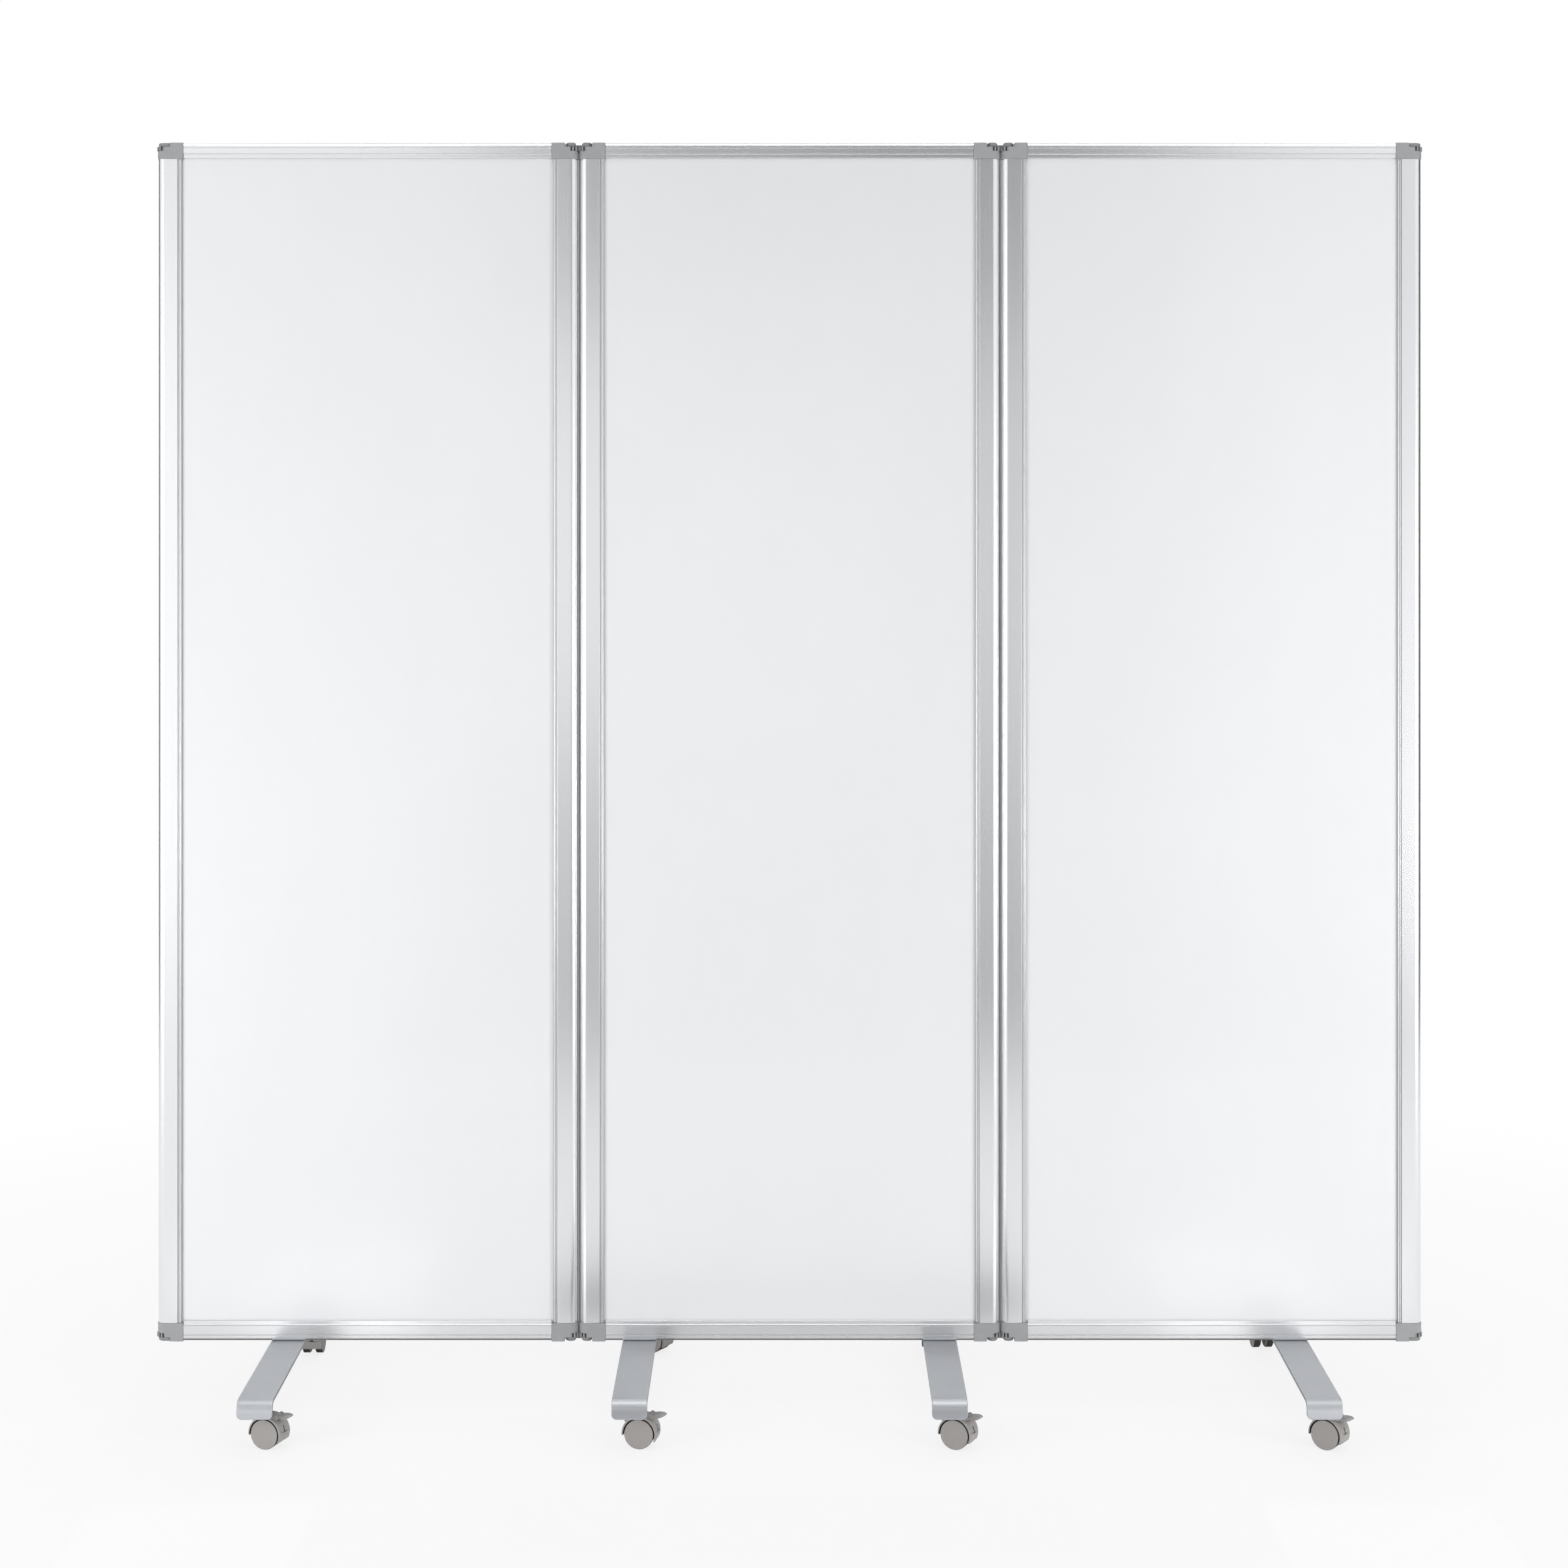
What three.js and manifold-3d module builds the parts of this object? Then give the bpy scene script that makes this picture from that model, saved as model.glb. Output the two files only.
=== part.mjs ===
// A three-panel privacy screen on wheels. Millimetres, +Z up.
// The origin is on the floor under the middle of the screen. +X runs along the row of panels,
// and -Y is the front.

import * as THREE from "three";
import { mergeVertices } from "three/addons/utils/BufferGeometryUtils.js";
import Module from "manifold-3d";

const wasm = await Module();
wasm.setup();

// Running gaps and cuts
const seatGap = 0.3; // between pieces that rest on or in each other
const overrun = 2; // how far a cut runs past the face that it opens

// Panels
const panelWidth = 602; // over the corner caps
const panelHeight = 1712; // over the corner caps
const panelBottom = 79; // the caps' underside above the floor
const panelGap = 1; // between the caps of two neighbours
const panelPitch = panelWidth + panelGap;
const panelTop = panelBottom + panelHeight;

// Aluminium frame
const frameDepth = 20;
const frameInset = 1; // how far the caps stand proud of the frame
const stileWidth = 34;
const topRailWidth = 21;
const bottomRailWidth = 28;
const railEdgeRadius = 5;
const chamberWall = 3.4; // between a rail's outer edge and its hollow
const stileChamberWall = 8;
const chamberDepth = 11; // the hollow, measured through the panel
const lipWidth = 5; // the thinner inner edge beside the board
const lipStep = 1.6;
const grooveWidth = 1;
const grooveDepth = 0.7;
const stileGrooves = [19, 23.5]; // from the outer edge
const topRailGrooves = [6, 14];
const bottomRailGrooves = [7.5, 21];

// Writing board, with a thinner margin all round that sits inside the frame
const boardThickness = 9;
const boardTuck = 7; // how far its edges sit inside the frame
const boardStep = 0.4; // how far its faces stand proud of the margin
const faceInset = 1; // from the frame's inner edge to a face's edge

// Corner caps, with a toothed knuckle that meshes with the neighbour's
const capDepth = 22;
const capLength = 38;
const topCapHeight = 23;
const bottomCapHeight = 26;
const spigotLength = 24;
const pivotInset = capDepth / 2;
const pivotSpacing = 2 * pivotInset + panelGap;
const knuckleHeight = 6;
const toothCount = 14;
const toothPitch = (2 * Math.PI) / toothCount;
const toothAddendum = 0.8;
const toothDedendum = 1.7;
const toothTipShare = 0.15; // half a tooth's width at its tip, as a share of the pitch
const toothRootShare = 0.26;
const toothPhaseShare = 0.25;
const knucklePitchRadius = pivotSpacing / 2;

// Hinge links
const linkThickness = 5;
const linkEndRadius = 7.5;
const linkWaist = 9;
const linkButtonRadius = 6;
const linkButtonHeight = 1.2;
const linkPinRadius = 3;
const linkPinLength = 15;
const pinBoreClearance = 0.4;

// Feet: bent flat bars, one under each outer panel and two under the middle one
const footWidth = 48;
const footThickness = 5;
const footFlat = 60; // the level stretch under the rail
const footReach = 258; // from the middle of the screen to the lip's outer face
const slopeRunOut = 18; // from the slope's end to the lip's outer face
const footSlopeEnd = footReach - slopeRunOut;
const footDrop = 7;
const footLipBottom = 47;
const footBendRadius = 12;
const footCornerRadius = 7;
const middleFootInset = 86.5; // from the end of the middle panel
const outerFootInset = 188; // from the free end of an outer panel
const middleFootOffset = panelWidth / 2 - middleFootInset; // from a panel's centre
const outerFootOffset = panelWidth / 2 - outerFootInset;
const socketRadius = 9;
const socketBottom = 55.5;

// Foot bolts
const boltRadius = 4;
const boltLength = 16;
const boltHeadRadius = 7;
const boltHeadHeight = 5;
const boltBoreClearance = 0.4;

// Twin-wheel casters
const stemInset = 40; // from the lip's outer face to a caster's swivel axis
const stemReach = footReach - stemInset;
const stemRadius = 5;
const collarRadius = 9;
const collarBottom = 33;
const collarTop = 52;
const casterTrail = 14;
const wheelRadius = 20;
const wheelEdge = 2;
const wheelTread = 11.4; // one wheel's width
const axleRadius = 3.5;
const webHalf = 3; // the hood's middle wall, measured from its centre plane
const webGap = 0.6;
const hoodHalfWidth = 14.9;
const hoodRadius = 24;
const hoodClearance = 1.6; // between a wheel's rim and the hood
const hoodBackAngle = -0.4;
const hoodFrontAngle = 3.2;
const hubRadius = 7;
const frontHeadings = [-18, -10, -25, -35]; // which way each front caster trails, in degrees
const rearHeadings = [-90, -30, 84, 94];

// Brake pedals, on the front casters
const pedalPivotReach = 26.6; // from the axle
const pedalPivotAngle = 1;
const pedalBarrelRadius = 2.8;
const pedalHalfWidth = 7;
const pedalReach = 21;
const pedalRise = 2.2;
const pedalRoot = 2.4;
const pedalTip = 1.2;
const pedalBelly = 3.2;
const earRadius = 3.8;
const earThickness = 2;

// How fine the round stretches are
const wheelSides = 20;
const pinSides = 12;
const hexSides = 6;
const bendSteps = 5;
const edgeSteps = 4;
const mergeTolerance = 1e-4;

const finish = (color, roughness, metalness) =>
  new THREE.MeshStandardMaterial({ color, roughness, metalness });
const finishes = {
  aluminium: finish(0xc4c6ca, 0.35, 0.9),
  board: finish(0xeceef0, 0.12, 0),
  cap: finish(0x98999c, 0.55, 0),
  foot: finish(0xb4b7bc, 0.38, 0.5),
  caster: finish(0x9e9b98, 0.5, 0),
  wheel: finish(0xa29c98, 0.45, 0),
  steel: finish(0xb0b2b4, 0.3, 1),
};

// Solids from three.js geometry, and back

function solidOf(geometry) {
  const bare = geometry.index ? geometry.toNonIndexed() : geometry.clone();
  bare.deleteAttribute("normal");
  bare.deleteAttribute("uv");
  const merged = mergeVertices(bare, mergeTolerance);
  return new wasm.Manifold(
    new wasm.Mesh({
      numProp: 3,
      vertProperties: merged.attributes.position.array,
      triVerts: new Uint32Array(merged.index.array),
    }),
  );
}

function geometryOf(solid) {
  const { vertProperties, triVerts } = solid.getMesh();
  const geometry = new THREE.BufferGeometry();
  geometry.setAttribute("position", new THREE.BufferAttribute(vertProperties, 3));
  geometry.setIndex(new THREE.BufferAttribute(triVerts, 1));
  return geometry;
}

// Shapes

const arc = (cx, cy, radius, from, to, steps) =>
  Array.from({ length: steps + 1 }, (_, i) => {
    const angle = from + ((to - from) * i) / steps;
    return [cx + radius * Math.cos(angle), cy + radius * Math.sin(angle)];
  });

const rectangle = (x0, x1, y0, y1) => [
  [x0, y0],
  [x1, y0],
  [x1, y1],
  [x0, y1],
];

const vectors = (points) => points.map(([x, y]) => new THREE.Vector2(x, y));

// An outline in X and Y, drawn out along Z from low to high
function prism(points, low, high, holes = []) {
  const shape = new THREE.Shape(vectors(points));
  holes.forEach((hole) => shape.holes.push(new THREE.Path(vectors(hole))));
  const geometry = new THREE.ExtrudeGeometry(shape, { depth: high - low, bevelEnabled: false });
  return geometry.translate(0, 0, low);
}

const block = (x0, x1, y0, y1, low, high) => prism(rectangle(x0, x1, y0, y1), low, high);

const rod = (x, y, radius, low, high, sides) =>
  prism(arc(x, y, radius, 0, 2 * Math.PI, sides).slice(1), low, high);

// Turns a prism's X, Y and Z to lie along three given directions
function turned(geometry, x, y, z) {
  const basis = new THREE.Matrix4().makeBasis(
    new THREE.Vector3(...x),
    new THREE.Vector3(...y),
    new THREE.Vector3(...z),
  );
  return geometry.applyMatrix4(basis);
}

// Draws an outline of X and Z points out along Y, between two places
const acrossY = (points, low, high) =>
  turned(prism(points, -high, -low), [1, 0, 0], [0, 0, 1], [0, -1, 0]);

// Frame sections: X runs from the outer edge to the board, and Y through the panel

// One face of a section, from the outer edge inwards: two fine grooves, then the stepped lip
function facePoints(width, grooves, startX) {
  const face = frameDepth / 2;
  const points = [[startX, face]];
  for (const place of grooves) {
    points.push([place, face], [place, face - grooveDepth]);
    points.push([place + grooveWidth, face - grooveDepth], [place + grooveWidth, face]);
  }
  points.push([width - lipWidth, face], [width - lipWidth, face - lipStep], [width, face - lipStep]);
  return points;
}

const mirrored = (points) => points.map(([x, y]) => [x, -y]).reverse();

function sectionPoints(width, grooves, edgeRadius) {
  const face = frameDepth / 2;
  const slot = boardThickness / 2 - boardStep + seatGap;
  const slotEnd = width - boardTuck - seatGap;
  const top = facePoints(width, grooves, edgeRadius);
  const edge = arc(edgeRadius, face - edgeRadius, edgeRadius, Math.PI / 2, Math.PI, edgeSteps);
  const upper = [...edge.slice(1).reverse(), ...top, [width, slot], [slotEnd, slot]];
  const lower = mirrored(upper);
  if (edgeRadius === face) lower.pop();
  return [...upper, ...lower];
}

// The hollow of a section lies between its outer wall and the board's slot
const chamberEnd = (width) => width - boardTuck - chamberWall;

const chamber = (width, wall, slack) =>
  rectangle(wall + slack, chamberEnd(width) - slack, slack - chamberDepth / 2, chamberDepth / 2 - slack);

const stileLow = panelBottom + bottomCapHeight + seatGap;
const stileHigh = panelTop - topCapHeight - seatGap;
const railHalf = panelWidth / 2 - capLength - seatGap;
const frameEnd = panelWidth / 2 - frameInset;
const railLow = panelBottom + frameInset;
const railHigh = panelTop - frameInset;

function stileGeometry(side) {
  const points = sectionPoints(stileWidth, stileGrooves, frameDepth / 2);
  const geometry = prism(points, stileLow, stileHigh, [chamber(stileWidth, stileChamberWall, 0)]);
  const inwards = -side;
  return turned(geometry, [inwards, 0, 0], [0, inwards, 0], [0, 0, 1]).translate(side * frameEnd, 0, 0);
}

function topRailGeometry() {
  const points = sectionPoints(topRailWidth, topRailGrooves, railEdgeRadius);
  const geometry = prism(points, -railHalf, railHalf, [chamber(topRailWidth, chamberWall, 0)]);
  return turned(geometry, [0, 0, -1], [0, 1, 0], [1, 0, 0]).translate(0, 0, railHigh);
}

// The bottom rail is drilled for the bolts that hold the feet
function bottomRailGeometry(footPlaces) {
  const points = sectionPoints(bottomRailWidth, bottomRailGrooves, railEdgeRadius);
  const geometry = prism(points, -railHalf, railHalf, [chamber(bottomRailWidth, chamberWall, 0)]);
  let rail = solidOf(turned(geometry, [0, 0, 1], [0, -1, 0], [1, 0, 0]).translate(0, 0, railLow));
  const drill = boltRadius + boltBoreClearance;
  const through = railLow + (chamberWall + chamberEnd(bottomRailWidth)) / 2;
  for (const x of footPlaces)
    rail = rail.subtract(solidOf(rod(x, 0, drill, railLow - overrun, through, pinSides)));
  return geometryOf(rail);
}

const boardHalf = frameEnd - stileWidth + boardTuck;
const boardLow = railLow + bottomRailWidth - boardTuck;
const boardHigh = railHigh - topRailWidth + boardTuck;

// The board's margin, with slack all round where its slot is wanted
function marginGeometry(slack) {
  const half = boardHalf + slack;
  const face = boardThickness / 2 - boardStep + slack;
  return block(-half, half, -face, face, boardLow - slack, boardHigh + slack);
}

// The board's faces stand proud of its margin, and clear the frame and the caps
function boardGeometry() {
  const half = boardHalf - boardTuck - faceInset;
  const face = boardThickness / 2;
  const proud = block(-half, half, -face, face, boardLow + boardTuck + faceInset, stileHigh - faceInset);
  return geometryOf(solidOf(marginGeometry(0)).add(solidOf(proud)));
}

// Corner caps. A cap is drawn for a top left corner, with its outer end at X 0 and its outer
// face at Z 0, and is turned for the other corners.

const notchDepth = linkThickness + 2 * seatGap;
const notchLength = pivotInset + linkEndRadius + 2 * seatGap;
const knuckleLow = -notchDepth - knuckleHeight;

// The toothed half of the knuckle, with a quarter pitch of phase, so that a cap turned half
// round on the next panel meshes with it
function knucklePoints() {
  const teeth = Math.ceil(toothCount / 4);
  const rings = [
    [-toothRootShare, knucklePitchRadius - toothDedendum],
    [-toothTipShare, knucklePitchRadius + toothAddendum],
    [toothTipShare, knucklePitchRadius + toothAddendum],
    [toothRootShare, knucklePitchRadius - toothDedendum],
  ];
  const half = capDepth / 2;
  const points = [];
  for (let tooth = -teeth; tooth < teeth; tooth += 1)
    for (const [share, radius] of rings) {
      const angle = Math.PI + (tooth + toothPhaseShare + share) * toothPitch;
      const x = pivotInset + radius * Math.cos(angle);
      const y = radius * Math.sin(angle);
      if (x < pivotInset) points.push([x, THREE.MathUtils.clamp(y, -half, half)]);
    }
  return [...points, [notchLength, -half], [notchLength, half]];
}

function capGeometry(height, railWidth) {
  const half = capDepth / 2;
  const end = arc(pivotInset, 0, half, Math.PI / 2, (3 * Math.PI) / 2, 2 * bendSteps);
  let cap = solidOf(prism([...end, [capLength, -half], [capLength, half]], -height, 0));
  const past = half + overrun;
  const notch = block(-overrun, notchLength, -past, past, -notchDepth, overrun);
  const beside = block(-overrun, pivotInset, -past, past, knuckleLow, -notchDepth);
  cap = cap.subtract(solidOf(notch)).subtract(solidOf(beside));
  cap = cap.add(solidOf(prism(knucklePoints(), knuckleLow, -notchDepth)));

  const stileSpigot = chamber(stileWidth, stileChamberWall, seatGap);
  const down = prism(stileSpigot, -height - spigotLength, -height + overrun).translate(frameInset, 0, 0);
  const railSpigot = chamber(railWidth, chamberWall, seatGap);
  const drawn = prism(railSpigot, capLength - overrun, capLength + spigotLength);
  const along = turned(drawn, [0, 0, -1], [0, 1, 0], [1, 0, 0]).translate(0, 0, -frameInset);
  cap = cap.add(solidOf(down)).add(solidOf(along));

  const boreFloor = -notchDepth - linkPinLength - seatGap;
  const bore = rod(pivotInset, 0, linkPinRadius + pinBoreClearance, boreFloor, overrun, pinSides);
  return geometryOf(cap.subtract(solidOf(bore)));
}

// A cap in its place on its own panel, with the board's slot cut in it
function placedCap(geometry, side, top) {
  const turn = new THREE.Matrix4();
  if (!top) turn.multiply(new THREE.Matrix4().makeRotationX(Math.PI));
  if (side > 0) turn.premultiply(new THREE.Matrix4().makeRotationZ(Math.PI));
  const corner = [(side * panelWidth) / 2, 0, top ? panelTop : panelBottom];
  const placed = geometry.clone().applyMatrix4(turn).translate(...corner);
  return geometryOf(solidOf(placed).subtract(solidOf(marginGeometry(seatGap))));
}

// A link lies in the notches of two neighbours, with its middle at X 0 and its outer face at Z 0
function linkGeometry() {
  const pivot = pivotSpacing / 2;
  const waistAngle = Math.asin(linkWaist / 2 / linkEndRadius);
  const turn = Math.PI - waistAngle;
  const right = arc(pivot, 0, linkEndRadius, -turn, turn, 2 * bendSteps);
  const left = arc(-pivot, 0, linkEndRadius, waistAngle, waistAngle + 2 * turn, 2 * bendSteps);
  let link = solidOf(prism([...right, ...left], -linkThickness, 0));
  for (const x of [-pivot, pivot]) {
    const button = new THREE.CylinderGeometry(
      linkButtonRadius - linkButtonHeight,
      linkButtonRadius,
      linkButtonHeight + linkThickness / 2,
      pinSides,
    );
    button.rotateX(Math.PI / 2);
    button.translate(x, 0, (linkButtonHeight - linkThickness / 2) / 2);
    const pin = rod(x, 0, linkPinRadius, -linkThickness - linkPinLength, -linkThickness / 2, pinSides);
    link = link.add(solidOf(button)).add(solidOf(pin));
  }
  return geometryOf(link);
}

// Feet. The bar's side view runs along Y, and its lip turns down at each end.

const footTop = railLow - seatGap;

// The bar's middle line from its centre to its front lip, as places with their directions
function footHalfPath() {
  const middle = footTop - footThickness / 2;
  const slope = Math.atan2(footDrop, footSlopeEnd - footFlat / 2);
  const lipMiddle = footReach - footThickness / 2;
  const bendStart = lipMiddle - footBendRadius * (1 - Math.sin(slope));
  const bendTop = middle - (bendStart - footFlat / 2) * Math.tan(slope);
  const centreY = lipMiddle - footBendRadius;
  const centreZ = bendTop - footBendRadius * Math.cos(slope);
  const path = [{ y: footFlat / 2, z: middle, angle: -slope / 2 }];
  for (let i = 0; i <= bendSteps; i += 1) {
    const angle = -slope - ((Math.PI / 2 - slope) * i) / bendSteps;
    path.push({
      y: centreY - footBendRadius * Math.sin(angle),
      z: centreZ + footBendRadius * Math.cos(angle),
      angle,
    });
  }
  path.push({ y: lipMiddle, z: footLipBottom, angle: -Math.PI / 2 });
  return path;
}

const offsetPath = (path, distance) =>
  path.map(({ y, z, angle }) => [y - distance * Math.sin(angle), z + distance * Math.cos(angle)]);

function footGeometry() {
  const path = footHalfPath();
  const upper = offsetPath(path, footThickness / 2);
  const lower = offsetPath(path, -footThickness / 2);
  const half = [...upper, ...lower.reverse()];
  const other = half.map(([y, z]) => [-y, z]).reverse();
  const outline = [...half, ...other];
  const bar = turned(prism(outline, -footWidth / 2, footWidth / 2), [0, 1, 0], [0, 0, 1], [1, 0, 0]);
  let foot = solidOf(bar);
  const cornerX = footWidth / 2 - footCornerRadius;
  const cornerZ = footLipBottom + footCornerRadius;
  for (const side of [-1, 1]) {
    const from = side > 0 ? -Math.PI / 2 : -Math.PI;
    const curve = arc(side * cornerX, cornerZ, footCornerRadius, from, from + Math.PI / 2, edgeSteps);
    const past = [side * (footWidth / 2 + overrun), footLipBottom - overrun];
    const outside = [[past[0], cornerZ], [side * cornerX, past[1]]];
    const corner = side > 0 ? [outside[1], past, outside[0]] : [outside[0], past, outside[1]];
    const waste = [...corner, ...curve.reverse()];
    for (const end of [-1, 1]) {
      const inner = end * (footReach - footBendRadius);
      const outer = end * (footReach + overrun);
      const cut = acrossY(waste, Math.min(inner, outer), Math.max(inner, outer));
      foot = foot.subtract(solidOf(cut));
    }
  }
  for (const end of [-1, 1]) {
    const y = end * stemReach;
    const socketTop = stemSocketTop + footThickness / 2;
    const bore = stemRadius + pinBoreClearance;
    const socket = rod(0, y, socketRadius, socketBottom, socketTop, 2 * hexSides);
    const hole = rod(0, y, bore, socketBottom - overrun, stemSocketTop, pinSides);
    foot = foot.add(solidOf(socket)).subtract(solidOf(hole));
  }
  const bolt = boltRadius + boltBoreClearance;
  const low = footTop - footThickness - overrun;
  return geometryOf(foot.subtract(solidOf(rod(0, 0, bolt, low, footTop + overrun, pinSides))));
}

// The underside of the sloping bar over a caster's stem
const footSlopeShare = (stemReach - footFlat / 2) / (footSlopeEnd - footFlat / 2);
const stemSocketTop = footTop - footThickness - footDrop * footSlopeShare;

function boltGeometry() {
  const headTop = footTop - footThickness - seatGap;
  const head = rod(0, 0, boltHeadRadius, headTop - boltHeadHeight, headTop, hexSides);
  const shank = rod(0, 0, boltRadius, headTop - boltHeadHeight / 2, headTop + boltLength, pinSides);
  return geometryOf(solidOf(head).add(solidOf(shank)));
}

// Casters. The swivel axis is at X 0, Y 0 and the wheels trail towards +X.

const pedalX = casterTrail + pedalPivotReach * Math.cos(pedalPivotAngle);
const pedalZ = wheelRadius + pedalPivotReach * Math.sin(pedalPivotAngle);

const lyingRod = (x, z, radius, low, high, sides) =>
  acrossY(arc(x, z, radius, 0, 2 * Math.PI, sides).slice(1), low, high);

function housingGeometry(braked) {
  const steps = 2 * edgeSteps + bendSteps;
  const shell = arc(casterTrail, wheelRadius, hoodRadius, hoodBackAngle, hoodFrontAngle, steps);
  const outline = [
    ...shell,
    [casterTrail - hubRadius, wheelRadius - hubRadius],
    [casterTrail + hubRadius, wheelRadius - hubRadius],
  ];
  let hood = solidOf(acrossY(outline, -hoodHalfWidth, hoodHalfWidth));
  hood = hood.add(solidOf(rod(0, 0, collarRadius, collarBottom, collarTop, wheelSides)));
  const pocket = wheelRadius + hoodClearance;
  for (const side of [-1, 1]) {
    const near = Math.min(side * webHalf, side * (hoodHalfWidth + overrun));
    const far = Math.max(side * webHalf, side * (hoodHalfWidth + overrun));
    hood = hood.subtract(solidOf(lyingRod(casterTrail, wheelRadius, pocket, near, far, wheelSides)));
  }
  const bore = axleRadius + pinBoreClearance;
  const through = webHalf + overrun;
  hood = hood.subtract(solidOf(lyingRod(casterTrail, wheelRadius, bore, -through, through, pinSides)));
  if (braked) {
    const inside = pedalHalfWidth + seatGap;
    const outside = inside + earThickness;
    hood = hood.add(solidOf(lyingRod(pedalX, pedalZ, earRadius, -outside, outside, pinSides)));
    const recess = earRadius + seatGap;
    hood = hood.subtract(solidOf(lyingRod(pedalX, pedalZ, recess, -inside, inside, pinSides)));
  }
  const top = stemSocketTop - seatGap;
  return geometryOf(hood.add(solidOf(rod(0, 0, stemRadius, collarTop - overrun, top, pinSides))));
}

// Two wheels on their axle, turned from one profile round the axle
function wheelsGeometry() {
  const inner = webHalf + webGap;
  const outer = inner + wheelTread;
  const half = [
    [axleRadius, inner],
    [wheelRadius, inner],
    [wheelRadius, outer - wheelEdge],
    [wheelRadius - wheelEdge, outer],
    [0, outer],
  ];
  const other = half.map(([r, y]) => [r, -y]).reverse();
  const profile = [...other, ...half];
  const geometry = new THREE.LatheGeometry(vectors(profile), wheelSides);
  return geometry.translate(casterTrail, 0, wheelRadius);
}

function pedalGeometry() {
  const leaf = [
    [0, -pedalRoot],
    [pedalReach / 2, pedalRise / 2 - pedalBelly],
    [pedalReach, pedalRise - pedalTip],
    [pedalReach, pedalRise + pedalTip],
    [pedalReach / 2, pedalRise / 2 + pedalRoot],
    [0, pedalRoot],
  ].map(([x, z]) => [pedalX + x, pedalZ + z]);
  const barrel = lyingRod(pedalX, pedalZ, pedalBarrelRadius, -pedalHalfWidth, pedalHalfWidth, pinSides);
  const lever = acrossY(leaf, -pedalHalfWidth, pedalHalfWidth);
  return geometryOf(solidOf(lever).add(solidOf(barrel)));
}

// The assembly

const screen = new THREE.Group();

function addPiece(group, name, geometry, finishName) {
  const mesh = new THREE.Mesh(geometry, finishes[finishName]);
  mesh.name = name;
  group.add(mesh);
}

const sides = { left: -1, right: 1 };
const topCap = capGeometry(topCapHeight, topRailWidth);
const bottomCap = capGeometry(bottomCapHeight, bottomRailWidth);
const link = linkGeometry();
const foot = footGeometry();
const bolt = boltGeometry();
const brakedHousing = housingGeometry(true);
const plainHousing = housingGeometry(false);
const wheels = wheelsGeometry();
const pedal = pedalGeometry();

function addPanel(name, centreX, footPlaces) {
  const panel = new THREE.Group();
  panel.position.x = centreX;
  addPiece(panel, `${name}_board`, boardGeometry(), "board");
  addPiece(panel, `${name}_top_rail`, topRailGeometry(), "aluminium");
  addPiece(panel, `${name}_bottom_rail`, bottomRailGeometry(footPlaces), "aluminium");
  for (const [sideName, side] of Object.entries(sides)) {
    addPiece(panel, `${name}_${sideName}_stile`, stileGeometry(side), "aluminium");
    addPiece(panel, `${name}_top_${sideName}_cap`, placedCap(topCap, side, true), "cap");
    addPiece(panel, `${name}_bottom_${sideName}_cap`, placedCap(bottomCap, side, false), "cap");
  }
  screen.add(panel);
}

function addCaster(name, x, y, heading, braked) {
  const caster = new THREE.Group();
  caster.position.set(x, y, 0);
  caster.rotation.z = THREE.MathUtils.degToRad(heading);
  addPiece(caster, `${name}_housing`, braked ? brakedHousing : plainHousing, "caster");
  addPiece(caster, `${name}_wheels`, wheels, "wheel");
  if (braked) addPiece(caster, `${name}_pedal`, pedal, "caster");
  screen.add(caster);
}

function addFoot(name, x, frontHeading, rearHeading) {
  const group = new THREE.Group();
  group.position.x = x;
  addPiece(group, name, foot, "foot");
  addPiece(group, `${name}_bolt`, bolt, "steel");
  screen.add(group);
  addCaster(`${name}_front_caster`, x, -stemReach, frontHeading, true);
  addCaster(`${name}_rear_caster`, x, stemReach, rearHeading, false);
}

function addLinks(name, x) {
  for (const [end, z] of Object.entries({ top: panelTop, bottom: panelBottom })) {
    const geometry = link.clone();
    if (end === "bottom") geometry.rotateX(Math.PI);
    const seat = end === "top" ? z - seatGap : z + seatGap;
    addPiece(screen, `${name}_joint_${end}_link`, geometry.translate(x, 0, seat), "cap");
  }
}

addPanel("left", -panelPitch, [-outerFootOffset]);
addPanel("middle", 0, [-middleFootOffset, middleFootOffset]);
addPanel("right", panelPitch, [outerFootOffset]);
addLinks("left", -panelPitch / 2);
addLinks("right", panelPitch / 2);
const feet = {
  left_foot: -panelPitch - outerFootOffset,
  middle_left_foot: -middleFootOffset,
  middle_right_foot: middleFootOffset,
  right_foot: panelPitch + outerFootOffset,
};
Object.entries(feet).forEach(([name, x], i) => addFoot(name, x, frontHeadings[i], rearHeadings[i]));

export default screen;
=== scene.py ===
"""A three-panel privacy screen on wheels, dressed over its packed frame.

Metres, +Z up, front towards -Y.
"""

from math import asin, atan2, ceil, cos, pi, radians, sin, sqrt, tan

import bmesh
import bpy
from mathutils import Matrix, Vector
from mathutils.geometry import tessellate_polygon


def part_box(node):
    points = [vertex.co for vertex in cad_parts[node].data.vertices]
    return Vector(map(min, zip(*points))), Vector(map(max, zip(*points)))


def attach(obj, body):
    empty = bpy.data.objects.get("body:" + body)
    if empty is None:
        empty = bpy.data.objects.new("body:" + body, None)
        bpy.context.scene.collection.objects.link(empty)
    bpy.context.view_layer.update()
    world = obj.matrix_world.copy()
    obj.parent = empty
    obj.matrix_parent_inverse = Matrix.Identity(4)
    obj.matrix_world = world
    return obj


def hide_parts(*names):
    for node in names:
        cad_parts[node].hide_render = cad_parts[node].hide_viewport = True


bl_info = {
    "name": "Wheeled Privacy Screen",
    "version": (1, 0, 0),
    "blender": (4, 5, 0),
    "location": "3D View > Sidebar > Privacy Screen",
    "description": "Builds the panels, hinges, feet and casters of a wheeled privacy screen",
    "category": "Add Mesh",
}

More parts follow.
